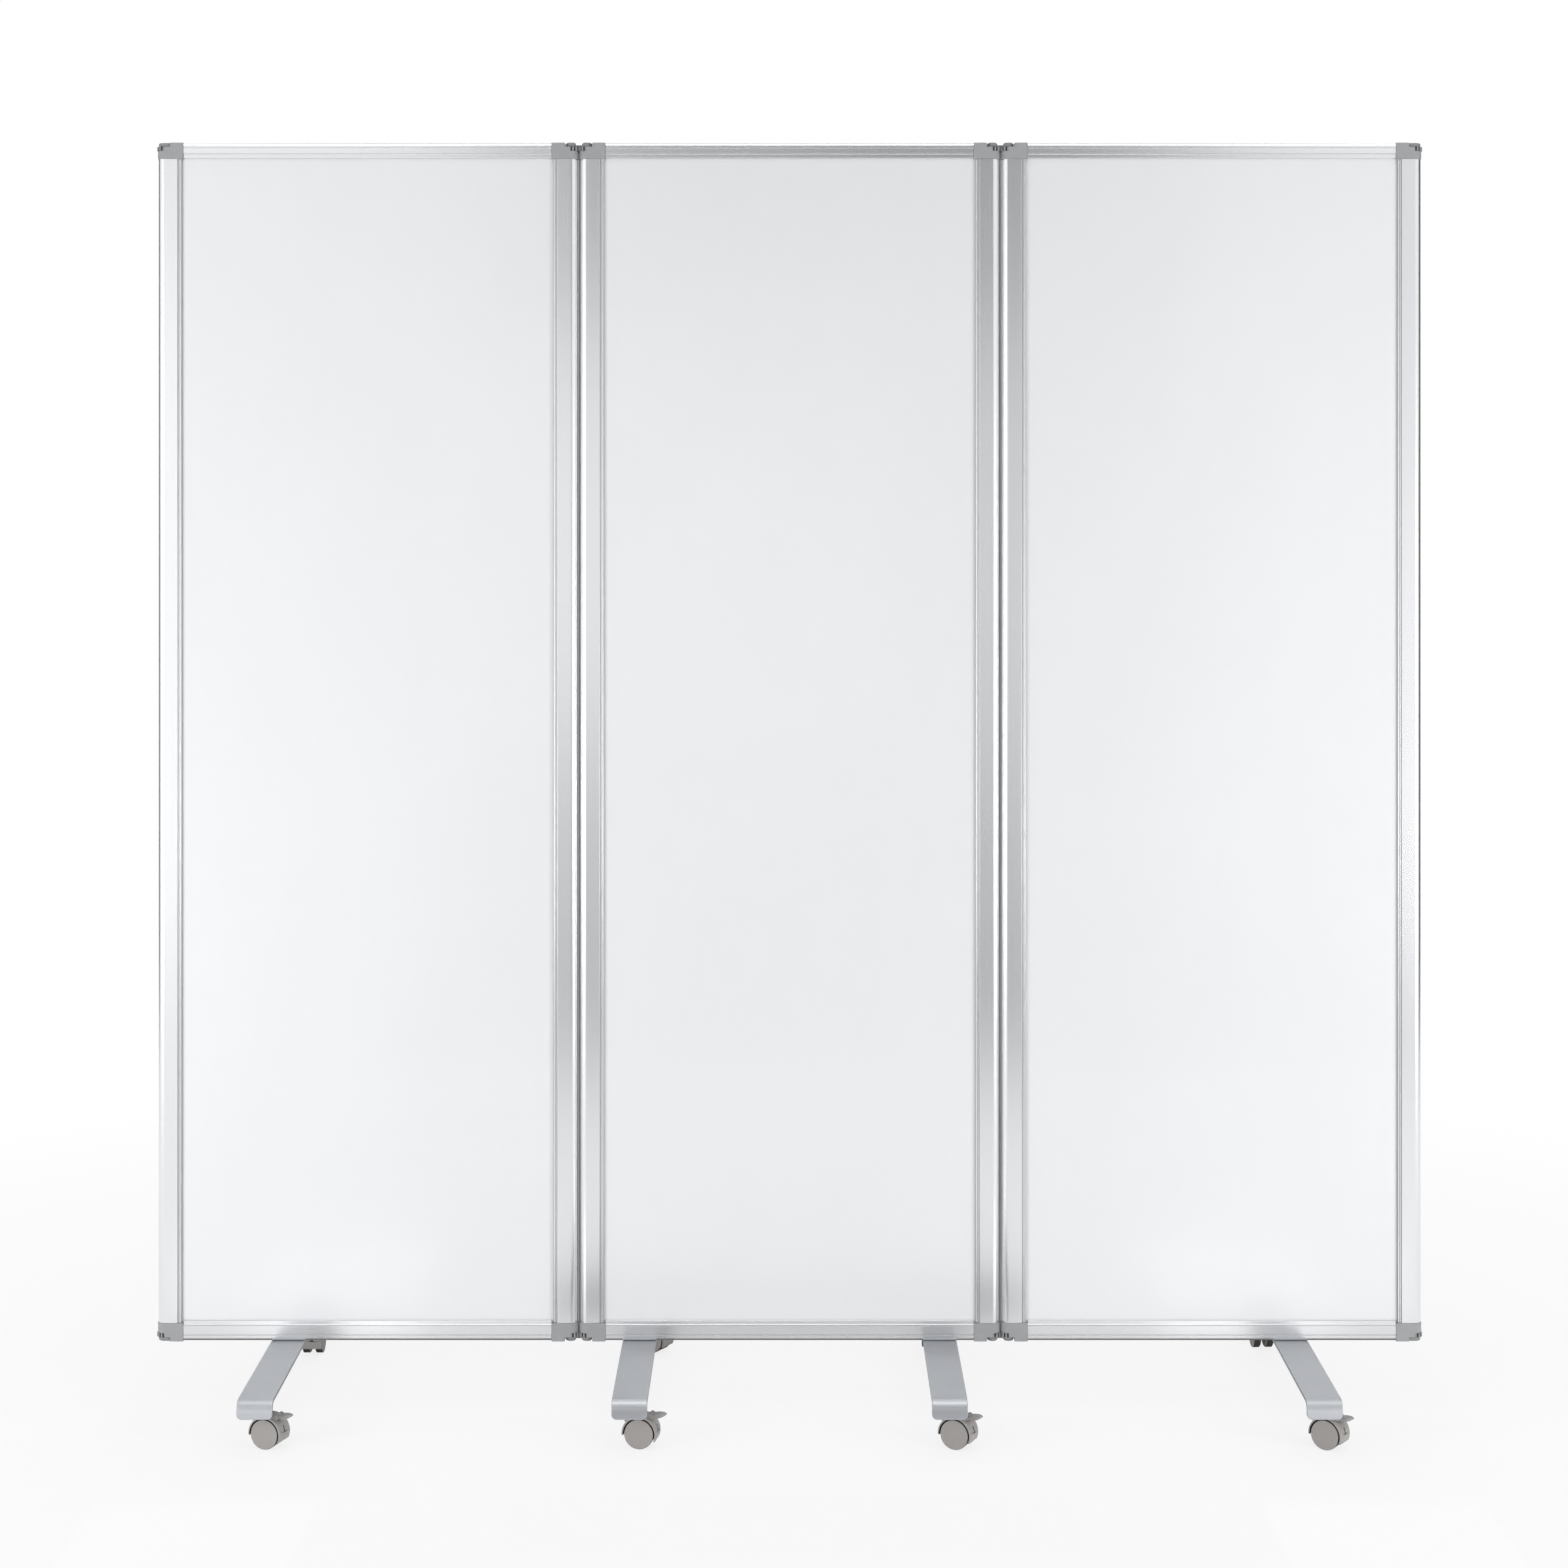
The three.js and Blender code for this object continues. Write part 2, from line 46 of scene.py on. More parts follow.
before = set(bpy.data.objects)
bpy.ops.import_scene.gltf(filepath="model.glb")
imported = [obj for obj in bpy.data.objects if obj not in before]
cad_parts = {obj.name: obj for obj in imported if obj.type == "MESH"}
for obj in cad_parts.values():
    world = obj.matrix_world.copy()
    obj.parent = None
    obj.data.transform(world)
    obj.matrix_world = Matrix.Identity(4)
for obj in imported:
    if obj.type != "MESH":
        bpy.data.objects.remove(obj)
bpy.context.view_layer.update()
MM = 0.001


def size_of(node):
    """The middle and the size of a frame node's box."""
    low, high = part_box(node)
    return (low + high) / 2, high - low


# Sizes that the frame already fixes
PANELS = {name: size_of(f"{name}_board")[0].x for name in ("left", "middle", "right")}
SIDES = {"left": -1, "right": 1}
PANEL_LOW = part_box("middle_bottom_left_cap")[0].z
PANEL_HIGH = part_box("middle_top_left_cap")[1].z
PANEL_HALF = 301 * MM
FRAME_DEPTH = 20 * MM
FRAME_INSET = 1 * MM
FRAME_HALF = PANEL_HALF - FRAME_INSET
STILE_WIDTH = 34 * MM
STILE_WALL = 8 * MM
RAIL_WALL = 3.4 * MM
RAIL_EDGE = 5 * MM
TOP_RAIL_WIDTH = 21 * MM
BOTTOM_RAIL_WIDTH = 28 * MM
BOARD_DEPTH = 9 * MM
BOARD_TUCK = 7 * MM
BOARD_STEP = 0.4 * MM
FACE_INSET = 1 * MM
SEAT_GAP = 0.3 * MM
CAP_DEPTH = 22 * MM
CAP_LENGTH = 38 * MM
TOP_CAP_HEIGHT = 23 * MM
BOTTOM_CAP_HEIGHT = 26 * MM
PIVOT_INSET = CAP_DEPTH / 2
PIVOT_SPACING = 23 * MM
JOINTS = {side: (PANELS[side] + PANELS["middle"]) / 2 for side in SIDES}
NOTCH_DEPTH = 5.6 * MM
NOTCH_LENGTH = 19.1 * MM
KNUCKLE_HEIGHT = 6 * MM
LEDGE_DEPTH = NOTCH_DEPTH + KNUCKLE_HEIGHT
BORE_RADIUS = 3.4 * MM
STEM_REACH = 218 * MM
TRAIL = 14 * MM
WHEEL_RADIUS = 20 * MM
HOOD_RADIUS = 24 * MM
HOOD_HALF = 14.9 * MM
POCKET_RADIUS = 21.6 * MM


# Each foot's panel, and the headings in degrees of its front and its rear caster
FEET = {
    "left_foot": ("left_panel", -18, -90),
    "middle_left_foot": ("middle_panel", -10, -30),
    "middle_right_foot": ("middle_panel", -25, 84),
    "right_foot": ("right_panel", -35, 94),
}


# Settings that a user may change

COLOUR = {"subtype": "COLOR", "min": 0, "max": 1}
SHARE = {"subtype": "FACTOR", "min": 0, "max": 1}


class BoardSettings(bpy.types.PropertyGroup):
    """The writing boards."""

    colour: bpy.props.FloatVectorProperty(
        name="Enamel colour", description="Colour of the enamelled steel sheet",
        default=(0.865, 0.873, 0.89), **COLOUR,
    )
    gloss: bpy.props.FloatProperty(
        name="Enamel roughness", description="How much the enamel blurs what it reflects",
        default=0.16, **SHARE,
    )
    sheet: bpy.props.FloatProperty(
        name="Sheet thickness", description="Thickness of the steel sheet on each side",
        default=0.6 * MM, unit="LENGTH",
    )


class FrameSettings(bpy.types.PropertyGroup):
    """The aluminium stiles and rails."""

    colour: bpy.props.FloatVectorProperty(
        name="Aluminium colour", description="Colour of the anodised aluminium",
        default=(0.82, 0.83, 0.845), **COLOUR,
    )
    roughness: bpy.props.FloatProperty(
        name="Aluminium roughness", description="How matt the anodised skin is",
        default=0.27, **SHARE,
    )
    groove_width: bpy.props.FloatProperty(
        name="Groove width", description="Width of the fine lines along each section",
        default=1 * MM, unit="LENGTH",
    )
    groove_depth: bpy.props.FloatProperty(
        name="Groove depth", description="Depth of the fine lines along each section",
        default=0.7 * MM, unit="LENGTH",
    )
    lip_width: bpy.props.FloatProperty(
        name="Lip width", description="Width of the stepped inner edge beside the board",
        default=5 * MM, unit="LENGTH",
    )
    lip_step: bpy.props.FloatProperty(
        name="Lip step", description="How far the inner edge is set back from the face",
        default=1.6 * MM, unit="LENGTH",
    )
    # Painted shade: how dark the grooves and the lip's recessed walls are painted, which also
    # makes them rougher
    groove_shade: bpy.props.FloatProperty(
        name="Groove film", description="How much the film in the grooves dulls them",
        default=0.58, **SHARE,
    )
    seal_width: bpy.props.FloatProperty(
        name="Seal width",
        description="Width of the dark strip that closes the gap between two neighbours",
        default=2.8 * MM, unit="LENGTH",
    )
    seal_colour: bpy.props.FloatVectorProperty(
        name="Seal colour", description="Colour of the sealing strips",
        default=(0.25, 0.25, 0.255), **COLOUR,
    )


class CapSettings(bpy.types.PropertyGroup):
    """The corner caps and the hinge links."""

    colour: bpy.props.FloatVectorProperty(
        name="Cap colour", description="Colour of the moulded caps",
        default=(0.355, 0.36, 0.37), **COLOUR,
    )
    link_colour: bpy.props.FloatVectorProperty(
        name="Link colour", description="Colour of the hinge links and their buttons",
        default=(0.27, 0.275, 0.285), **COLOUR,
    )
    rounding: bpy.props.FloatProperty(
        name="Edge rounding", description="Radius of the caps' edges",
        default=0.7 * MM, unit="LENGTH",
    )
    teeth: bpy.props.IntProperty(
        name="Knuckle teeth", description="How many teeth a whole knuckle would have",
        default=14, min=6,
    )


class FootSettings(bpy.types.PropertyGroup):
    """The bent flat bar feet and their bolts."""

    colour: bpy.props.FloatVectorProperty(
        name="Paint colour", description="Colour of the silver paint",
        default=(0.46, 0.475, 0.50), **COLOUR,
    )
    edge: bpy.props.FloatProperty(
        name="Bar edge radius", description="Radius of the bar's long edges",
        default=1.1 * MM, unit="LENGTH",
    )
    bend: bpy.props.FloatProperty(
        name="Bend radius", description="Radius at which the bar turns down into its lip",
        default=12 * MM, unit="LENGTH",
    )
    corner: bpy.props.FloatProperty(
        name="Lip corner radius", description="Radius of the lip's lower corners",
        default=7 * MM, unit="LENGTH",
    )
    steel: bpy.props.FloatVectorProperty(
        name="Bolt colour", description="Colour of the zinc plated bolts",
        default=(0.6, 0.61, 0.62), **COLOUR,
    )


class CasterSettings(bpy.types.PropertyGroup):
    """The twin-wheel casters."""

    hood_colour: bpy.props.FloatVectorProperty(
        name="Hood colour", description="Colour of the moulded hoods and pedals",
        default=(0.365, 0.352, 0.34), **COLOUR,
    )
    wheel_colour: bpy.props.FloatVectorProperty(
        name="Wheel colour", description="Colour of the wheels' outer discs",
        default=(0.37, 0.347, 0.335), **COLOUR,
    )
    tread_colour: bpy.props.FloatVectorProperty(
        name="Tread colour", description="Colour of the running surface",
        default=(0.05, 0.047, 0.045), **COLOUR,
    )
    rim: bpy.props.FloatProperty(
        name="Hood rim radius", description="Rounding of the hood's outer rims",
        default=1.6 * MM, unit="LENGTH",
    )
    # Painted shade: the share of the hood's colour left inside its pockets, standing in for their
    # shade
    pocket_shade_tone: bpy.props.FloatProperty(
        name="Recess tone",
        description="Tone of the dusty inside of a hood, as a share of the hood's colour",
        default=0.03, **SHARE,
    )


class StageSettings(bpy.types.PropertyGroup):
    """The floor, the lamps and the camera."""

    floor_colour: bpy.props.FloatVectorProperty(
        name="Floor colour", description="Colour of the floor",
        default=(0.93, 0.93, 0.93), **COLOUR,
    )
    sky: bpy.props.FloatProperty(
        name="Surround level", description="How much light comes from all round",
        default=0.51, min=0,
    )
    shadow: bpy.props.FloatProperty(
        name="Shadow share", description="How much of the floor's own shading shows on the white",
        default=0.19, **SHARE,
    )
    camera_distance: bpy.props.FloatProperty(
        name="Camera distance", description="From the camera to the middle of the screen",
        default=3.9, unit="LENGTH",
    )
    camera_height: bpy.props.FloatProperty(
        name="Camera height", description="Height of the camera above the floor",
        default=1.2275, unit="LENGTH",
    )
    lens: bpy.props.FloatProperty(
        name="Lens", description="Focal length on a 36 mm sensor",
        default=62.54, subtype="DISTANCE_CAMERA",
    )
    shift_x: bpy.props.FloatProperty(
        name="Sideways shift", description="Lens shift to the side", default=-0.0036
    )
    shift_y: bpy.props.FloatProperty(
        name="Upward shift", description="Lens shift upwards", default=-0.1574
    )


SETTINGS = {
    "screen_boards": BoardSettings,
    "screen_frames": FrameSettings,
    "screen_caps": CapSettings,
    "screen_feet": FootSettings,
    "screen_casters": CasterSettings,
    "screen_stage": StageSettings,
}


# Shader maths


class Wire:
    """A shader socket that takes part in Python sums, which add Math nodes."""

    def __init__(self, net, socket):
        self.net = net
        self.socket = socket

    def __add__(self, other):
        return self.net.maths("ADD", self, other)

    def __sub__(self, other):
        return self.net.maths("SUBTRACT", self, other)

    def __mul__(self, other):
        return self.net.maths("MULTIPLY", self, other)

    def __rsub__(self, other):
        return self.net.maths("SUBTRACT", other, self)

    def __pow__(self, other):
        return self.net.maths("POWER", self, other)

    __radd__ = __add__


class Net:
    """A node tree that is being drawn."""

    def __init__(self, owner):
        owner.use_nodes = True
        self.owner = owner
        self.tree = owner.node_tree
        self.tree.nodes.clear()

    def node(self, kind, settings=None, sockets=None, out=0):
        """Adds a node, sets its settings and then its sockets, and gives one of its outputs."""
        made = self.tree.nodes.new(kind)
        for name, value in (settings or {}).items():
            setattr(made, name, value)
        for name, value in (sockets or {}).items():
            if isinstance(value, Wire):
                self.tree.links.new(value.socket, made.inputs[name])
            else:
                made.inputs[name].default_value = value
        return Wire(self, made.outputs[out]) if made.outputs else None

    def maths(self, operation, *values):
        return self.node("ShaderNodeMath", {"operation": operation}, dict(enumerate(values)))

    def along(self, axis):
        """How far a point is along one of the piece's own axes."""
        own = self.node("ShaderNodeTexCoord", out="Object")
        return self.node("ShaderNodeSeparateXYZ", None, {0: own}, out=axis)

    def noise(self, scale, detail=2.0, roughness=0.5, stretch=(1, 1, 1)):
        """Noise over the piece's own coordinates, which are stretched first."""
        own = self.node("ShaderNodeTexCoord", out="Object")
        place = self.node("ShaderNodeMapping", None, {"Vector": own, "Scale": stretch})
        sockets = {"Vector": place, "Scale": scale, "Detail": detail, "Roughness": roughness}
        return self.node("ShaderNodeTexNoise", None, sockets)

    def ramp(self, value, *stops):
        """A grey ramp over stops of (place, shade)."""
        wire = self.node("ShaderNodeValToRGB", None, {"Fac": value})
        marks = wire.socket.node.color_ramp.elements
        while len(marks) < len(stops):
            marks.new(0.5)
        for mark, (place, shade) in zip(marks, stops):
            mark.position = place
            mark.color = (shade, shade, shade, 1)
        return wire

    def over(self, distance, span, *stops):
        """A ramp over a distance, with its stops as lengths within the span."""
        return self.ramp(distance * (1 / span), *[(place / span, shade) for place, shade in stops])

    def edges(self, low, high):
        """1 on outer edges, from how much a point sticks out."""
        outness = self.node("ShaderNodeNewGeometry", out="Pointiness")
        return self.ramp(outness, (low, 0.0), (high, 1.0))

    def mix(self, share, first, second):
        """A colour between two."""
        sockets = {0: share, 6: first, 7: second}
        return self.node("ShaderNodeMix", {"data_type": "RGBA"}, sockets, out=2)

    def bump(self, height, distance, strength=1.0, under=None):
        sockets = {"Height": height, "Distance": distance, "Strength": strength}
        if under is not None:
            sockets["Normal"] = under
        return self.node("ShaderNodeBump", None, sockets)

    def glow(self, colour):
        return self.node("ShaderNodeEmission", None, {"Color": colour, "Strength": 1.0})

    def principled(self, **sockets):
        named = {name.replace("_", " "): value for name, value in sockets.items()}
        return self.node("ShaderNodeBsdfPrincipled", None, named)

    def ended(self, shader):
        """Ends the tree with a shader, and gives the material that it is for."""
        self.node("ShaderNodeOutputMaterial", None, {"Surface": shader})
        return self.owner

    def surface(self, **sockets):
        return self.ended(self.principled(**sockets))


def rgba(colour, share=1.0):
    return (*[min(1.0, channel * share) for channel in colour], 1.0)


def shades(net, share, colour, first, second):
    """Between two shares of a colour."""
    return net.mix(share, rgba(colour, first), rgba(colour, second))


def material_net(name):
    return Net(bpy.data.materials.new(name))


def enamel(settings):
    """Glossy white enamel: faint waves of the sheet, a wiped haze and a very fine skin."""
    net = material_net("white_enamel")
    haze = net.ramp(net.noise(5.5, 6.0, 0.6, stretch=(1.0, 1.0, 0.6)), (0.35, 0.0), (0.75, 1.0))
    wiped = net.noise(7.0, 4.0, stretch=(1.0, 1.0, 9.0))
    waves = net.noise(2.4, 1.0)
    skin = net.noise(900.0)
    sheet = net.bump(waves, 0.9 * MM, 0.35)
    return net.surface(
        Base_Color=shades(net, haze * 0.5, settings.colour, 1, 0.968),
        Roughness=settings.gloss + haze * 0.07 + wiped * 0.05,
        Normal=net.bump(skin, 0.012 * MM, 0.5, sheet),
        Coat_Weight=0.25,
        Coat_Roughness=0.06,
    )


# Where painted shade lies, by distance from a section's middle: under the lip's face, and in the
# grooves
LIP_SHADE = ((7.333 * MM, 1.0), (8 * MM, 0.0))
GROOVE_SHADE = ((9.111 * MM, 0.0), (9.222 * MM, 1.0), (9.556 * MM, 1.0), (9.833 * MM, 0.0))
# The painted shade in the rails' grooves, as a share of that on the stiles
RAIL_SHADE = 0.45


def anodised(name, settings, edge, groove_shade):
    """Satin anodised aluminium: fine lines along each section, with painted shade in its grooves
    and under its lip, which are also rougher.

    The section's outer edge is rounded as far as edge, and has no groove. The share of painted
    shade, the last argument, is from 0 to 1.
    """
    net = material_net(name)
    lines = net.noise(1500.0, 2.0, 0.6, stretch=(1.0, 1.0, 0.001))
    bands = net.noise(240.0, stretch=(1.0, 1.0, 0.004))
    cloud = net.noise(5.0, 3.0)
    streak = lines * 0.7 + bands * 0.3
    flat = net.over(net.along("X"), 50 * MM, (edge, 0.0), (edge + 0.5 * MM, 1.0))
    depth = net.maths("ABSOLUTE", net.along("Y"))
    sunk = net.over(depth, 12 * MM, *LIP_SHADE, *GROOVE_SHADE)
    groove_shade = flat * sunk * groove_shade
    tone = shades(net, streak, settings.colour, 0.985, 1.015)
    return net.surface(
        # Painted shade: the grooves and the recessed walls are darkened towards a tenth of the
        # colour
        Base_Color=net.mix(groove_shade, tone, rgba(settings.colour, 0.1)),
        Metallic=0.94,
        Roughness=settings.roughness + streak * 0.05 + cloud * 0.02 - 0.04 + groove_shade * 0.3,
        Anisotropic=0.6,
        Normal=net.bump(lines, 0.004 * MM, 0.25),
    )


def sealing(settings):
    """Soft black sealing strip with a dusty bloom."""
    net = material_net("sealing_strip")
    bloom = net.noise(260.0, 3.0, stretch=(1.0, 1.0, 0.1))
    grains = net.noise(1800.0)
    return net.surface(
        Base_Color=shades(net, bloom, settings.seal_colour, 0.7, 1.4),
        Roughness=0.6 + grains * 0.15,
        Normal=net.bump(grains, 0.03 * MM, 0.5),
    )


def from_axle(net, x, second, across):
    """How far a point is from an axle at x along X and at second along the axis across."""
    wide = net.along("X") - x
    high = net.along(across) - second
    return (wide * wide + high * high) ** 0.5


def pocket_shade(net):
    """1 inside a hood's pocket, where the hood's colour is darkened as painted shade."""
    reach = from_axle(net, TRAIL, WHEEL_RADIUS, "Z")
    low, high = POCKET_RADIUS + 0.09 * MM, POCKET_RADIUS + 0.41 * MM
    return net.over(reach, 40 * MM, (low, 1.0), (high, 0.0))


def teeth_shade(net):
    """1 low between a knuckle's teeth and under its notch, where the cap's colour is darkened as
    painted shade.
    """
    span = 20 * MM
    pitch_radius = PIVOT_SPACING / 2
    reach = from_axle(net, PIVOT_INSET, 0, "Y")
    inside = net.over(reach, span, (pitch_radius - 1.3 * MM, 1.0), (pitch_radius - 0.2 * MM, 0.0))
    top = ((NOTCH_DEPTH - 0.2 * MM, 0.0), (NOTCH_DEPTH + 0.1 * MM, 1.0))
    foot = ((LEDGE_DEPTH - 0.1 * MM, 1.0), (LEDGE_DEPTH + 0.2 * MM, 0.0))
    band = net.over(0 - net.along("Z"), span, *top, *foot)
    low, high = PIVOT_INSET - 0.2 * MM, PIVOT_INSET + 0.2 * MM
    return inside * band * net.over(net.along("X"), span, (low, 1.0), (high, 0.0))


def moulded(name, colour, roughness, shade_mask=None, depth=0.12):
    """Moulded nylon: a fine spark-eroded grain, soft cloudy tone and edges rubbed lighter.

    Where the mask that is passed in gives 1, painted shade leaves only the share of the colour
    that depth names.
    """
    net = material_net(name)
    cloud = net.noise(45.0, 4.0, 0.6)
    grains = net.noise(2600.0, 2.0, 0.7)
    worn = net.edges(0.52, 0.62)
    patch = net.ramp(net.noise(160.0, 3.0), (0.4, 0.0), (0.65, 1.0))
    tone = shades(net, cloud, colour, 0.93, 1.07)
    tone = net.mix(worn * patch * 0.25, tone, rgba(colour, 1.45))
    # Painted shade: where the mask gives 1, the colour is darkened to the share that depth names
    if shade_mask:
        tone = net.mix(shade_mask(net), tone, rgba(colour, depth))
    return net.surface(
        Base_Color=tone,
        Roughness=roughness + grains * 0.1 - cloud * 0.08,
        Normal=net.bump(grains, 0.03 * MM, 0.5),
    )


def silver_paint(settings):
    """Silver paint over steel bar: fine flakes under a clear skin, with a light orange peel."""
    net = material_net("silver_paint")
    flakes = net.noise(4200.0, 1.0)
    cloud = net.noise(22.0, 3.0)
    peel = net.noise(420.0)
    worn = net.edges(0.53, 0.64)
    tone = shades(net, flakes * 0.7 + cloud * 0.3, settings.colour, 0.86, 1.14)
    return net.surface(
        Base_Color=net.mix(worn * 0.35, tone, rgba(settings.colour, 1.4)),
        Metallic=0.55,
        Roughness=0.33 + flakes * 0.12,
        Normal=net.bump(peel, 0.02 * MM, 0.4),
        Coat_Weight=0.35,
        Coat_Roughness=0.12,
    )


def zinc(settings):
    """Zinc plated steel."""
    net = material_net("zinc_plated_steel")
    spangle = net.noise(380.0, 3.0)
    return net.surface(
        Base_Color=shades(net, spangle, settings.steel, 0.8, 1.1),
        Metallic=1.0,
        Roughness=0.24 + spangle * 0.2,
        Normal=net.bump(net.noise(1900.0), 0.015 * MM, 0.5),
    )


def wheel_nylon(settings):
    """The wheels: a satin disc, and a softer, scuffed tread outside its rim."""
    net = material_net("wheel_nylon")
    tread = net.over(from_axle(net, 0, 0, "Y"), WHEEL_RADIUS, (19.36 * MM, 0.0), (19.8 * MM, 1.0))
    cloud = net.noise(60.0, 4.0, 0.6)
    dust = net.noise(320.0, 4.0, 0.7, stretch=(1.0, 0.25, 1.0))
    grains = net.noise(2400.0, 2.0, 0.7)
    disc = shades(net, cloud, settings.wheel_colour, 0.94, 1.06)
    band = shades(net, dust, settings.tread_colour, 0.8, 1.25)
    return net.surface(
        Base_Color=net.mix(tread, disc, band),
        Roughness=0.4 + tread * 0.18 + grains * 0.08,
        Normal=net.bump(grains, 0.025 * MM, 0.45),
    )


# Shells: lists of points and faces

UPRIGHT = Matrix.Rotation(pi / 2, 4, "X")
TINY = 1e-9


def shares(steps):
    """From 0 to 1 in so many steps."""
    return [i / steps for i in range(steps + 1)]


def arc(cx, cy, radius, start, end, steps):
    turns = [start + (end - start) * i / steps for i in range(steps + 1)]
    return [(cx + radius * cos(turn), cy + radius * sin(turn)) for turn in turns]


def circle(x, radius, sides):
    return arc(x, 0, radius, 0, 2 * pi, sides)[1:]


def rectangle(x0, x1, y0, y1):
    return [(x0, y0), (x1, y0), (x1, y1), (x0, y1)]


def filleted(corners):
    """An outline from corners (x, y, radius), with each corner rounded by its radius."""
    outline = []
    count = len(corners)
    for i, (x, y, radius) in enumerate(corners):
        here = Vector((x, y))
        before = Vector(corners[i - 1][:2]) - here
        after = Vector(corners[(i + 1) % count][:2]) - here
        if before.length < TINY or after.length < TINY:
            continue
        opening = before.angle(after)
        if radius <= 0 or opening > pi - 0.1:
            outline.append((x, y))
            continue
        reach = min(radius / tan(opening / 2), 0.499 * min(before.length, after.length))
        radius = reach * tan(opening / 2)
        before.normalize()
        after.normalize()
        middle = here + (before + after).normalized() * radius / sin(opening / 2)
        start = here + before * reach - middle
        end = here + after * reach - middle
        sweep = start.angle(end)
        for share in shares(12 if radius > 3 * MM else 3):
            point = start * sin((1 - share) * sweep) + end * sin(share * sweep)
            outline.append(tuple(middle + point / sin(sweep)))
    return outline


def rounded_box(x0, x1, y0, y1, radius):
    return filleted([(x, y, radius) for x, y in rectangle(x0, x1, y0, y1)])


def prism(outline, low, high, holes=()):
    """An outline in X and Y drawn out along Z."""
    rings = [outline, *holes]
    points = [Vector((x, y, z)) for z in (low, high) for ring in rings for x, y in ring]
    count = len(points) // 2
    faces = []
    start = 0
    for ring in rings:
        for i in range(len(ring)):
            a, b = start + i, start + (i + 1) % len(ring)
            faces.append((a, b, b + count, a + count))
        start += len(ring)
    if holes:
        ends = tessellate_polygon([[Vector((x, y, 0)) for x, y in ring] for ring in rings])
        faces += [tuple(end) for end in ends] + [tuple(i + count for i in end) for end in ends]
    else:
        faces += [tuple(range(count))[::-1], tuple(range(count, 2 * count))]
    return points, faces


def lathe(profile, sides):
    """A profile of (radius, height) turned round Z, from its first point to its last."""
    points, faces, rings = [], [], []
    for radius, height in profile:
        count = 1 if radius < TINY else sides
        rings.append(list(range(len(points), len(points) + count)))
        for i in range(count):
            turn = 2 * pi * i / sides
            points.append(Vector((radius * cos(turn), radius * sin(turn), height)))
    for low, high in zip(rings, rings[1:]):
        for i in range(sides):
            j = (i + 1) % sides
            face = [low[i % len(low)], low[j % len(low)], high[j % len(high)], high[i % len(high)]]
            faces.append(tuple(dict.fromkeys(face)))
    return points, faces


def lofted(loops):
    """Loops of the same count joined by a skin, with both ends closed."""
    count = len(loops[0])
    points = [Vector(point) for loop in loops for point in loop]
    faces = []
    for i in range(len(loops) - 1):
        for j in range(count):
            k = (j + 1) % count
            faces.append((i * count + j, i * count + k, (i + 1) * count + k, (i + 1) * count + j))
    last = (len(loops) - 1) * count
    faces += [tuple(range(count))[::-1], tuple(range(last, last + count))]
    return points, faces


def at(x=0, y=0, z=0):
    return Matrix.Translation((x, y, z))


def moved(shell, matrix):
    points, faces = shell
    return [matrix @ point for point in points], faces


def in_mm(*places):
    """Places given in millimetres, as of a profile."""
    return [(first * MM, second * MM) for first, second in places]


def together(*shells):
    points, faces = [], []
    for more, others in shells:
        faces += [tuple(i + len(points) for i in face) for face in others]
        points += more
    return points, faces


def mesh_of(name, shell):
    """A mesh with its faces turned outwards."""
    mesh = bpy.data.meshes.new(name)
    mesh.from_pydata([tuple(point) for point in shell[0]], [], shell[1])
    soft = bmesh.new()
    soft.from_mesh(mesh)
    bmesh.ops.recalc_face_normals(soft, faces=soft.faces)
    soft.to_mesh(mesh)
    soft.free()
    return mesh


def linked(name, data):
    """A new object in the scene."""
    thing = bpy.data.objects.new(name, data)
    bpy.context.scene.collection.objects.link(thing)
    return thing


def worked(name, shell, cuts=(), joins=(), rounding=0.0, steps=3, angle=40):
    """A mesh of the shell with others joined and cut, and its sharp edges rounded."""
    helpers = []

    def helper(label, made):
        helpers.append(linked(label, mesh_of(label, made)))
        return helpers[-1]

    base = helper(name, shell)
    for operation, others in (("UNION", joins), ("DIFFERENCE", cuts)):
        for i, other in enumerate(others):
            step = base.modifiers.new(f"{operation}_{i}", "BOOLEAN")
            step.operation = operation
            step.solver = "EXACT"
            step.object = helper(f"{name}_{operation}_{i}", other)
    if rounding:
        edge = base.modifiers.new("edges", "BEVEL")
        edge.width = rounding
        edge.segments = steps
        edge.limit_method = "ANGLE"
        edge.angle_limit = radians(angle)
        edge.use_clamp_overlap = False
    depsgraph = bpy.context.evaluated_depsgraph_get()
    mesh = bpy.data.meshes.new_from_object(base.evaluated_get(depsgraph))
    mesh.name = name
    for thing in helpers:
        data = thing.data
        bpy.data.objects.remove(thing)
        bpy.data.meshes.remove(data)
    if not mesh.polygons:
        raise RuntimeError(f"{name} came out empty")
    return mesh


def merged(mesh, more):
    """The first mesh with the second one in it too."""
    both = bmesh.new()
    both.from_mesh(mesh)
    both.from_mesh(more)
    both.to_mesh(mesh)
    both.free()
    bpy.data.meshes.remove(more)
    return mesh


def added(mesh, shell):
    """The mesh with one more shell in it."""
    return merged(mesh, mesh_of("more", shell))


def finished(name, mesh, material, matrix, angle=38):
    """A new piece with its material, its smooth and sharp edges, and its place."""
    mesh = mesh.copy()
    mesh.name = name
    mesh.materials.clear()
    mesh.materials.append(material)
    mesh.polygons.foreach_set("use_smooth", [True] * len(mesh.polygons))
    mesh.set_sharp_from_angle(angle=radians(angle))
    piece = linked(name, mesh)
    even = piece.modifiers.new("even_shading", "WEIGHTED_NORMAL")
    even.keep_sharp = True
    even.weight = 80
    piece.matrix_world = matrix
    return piece


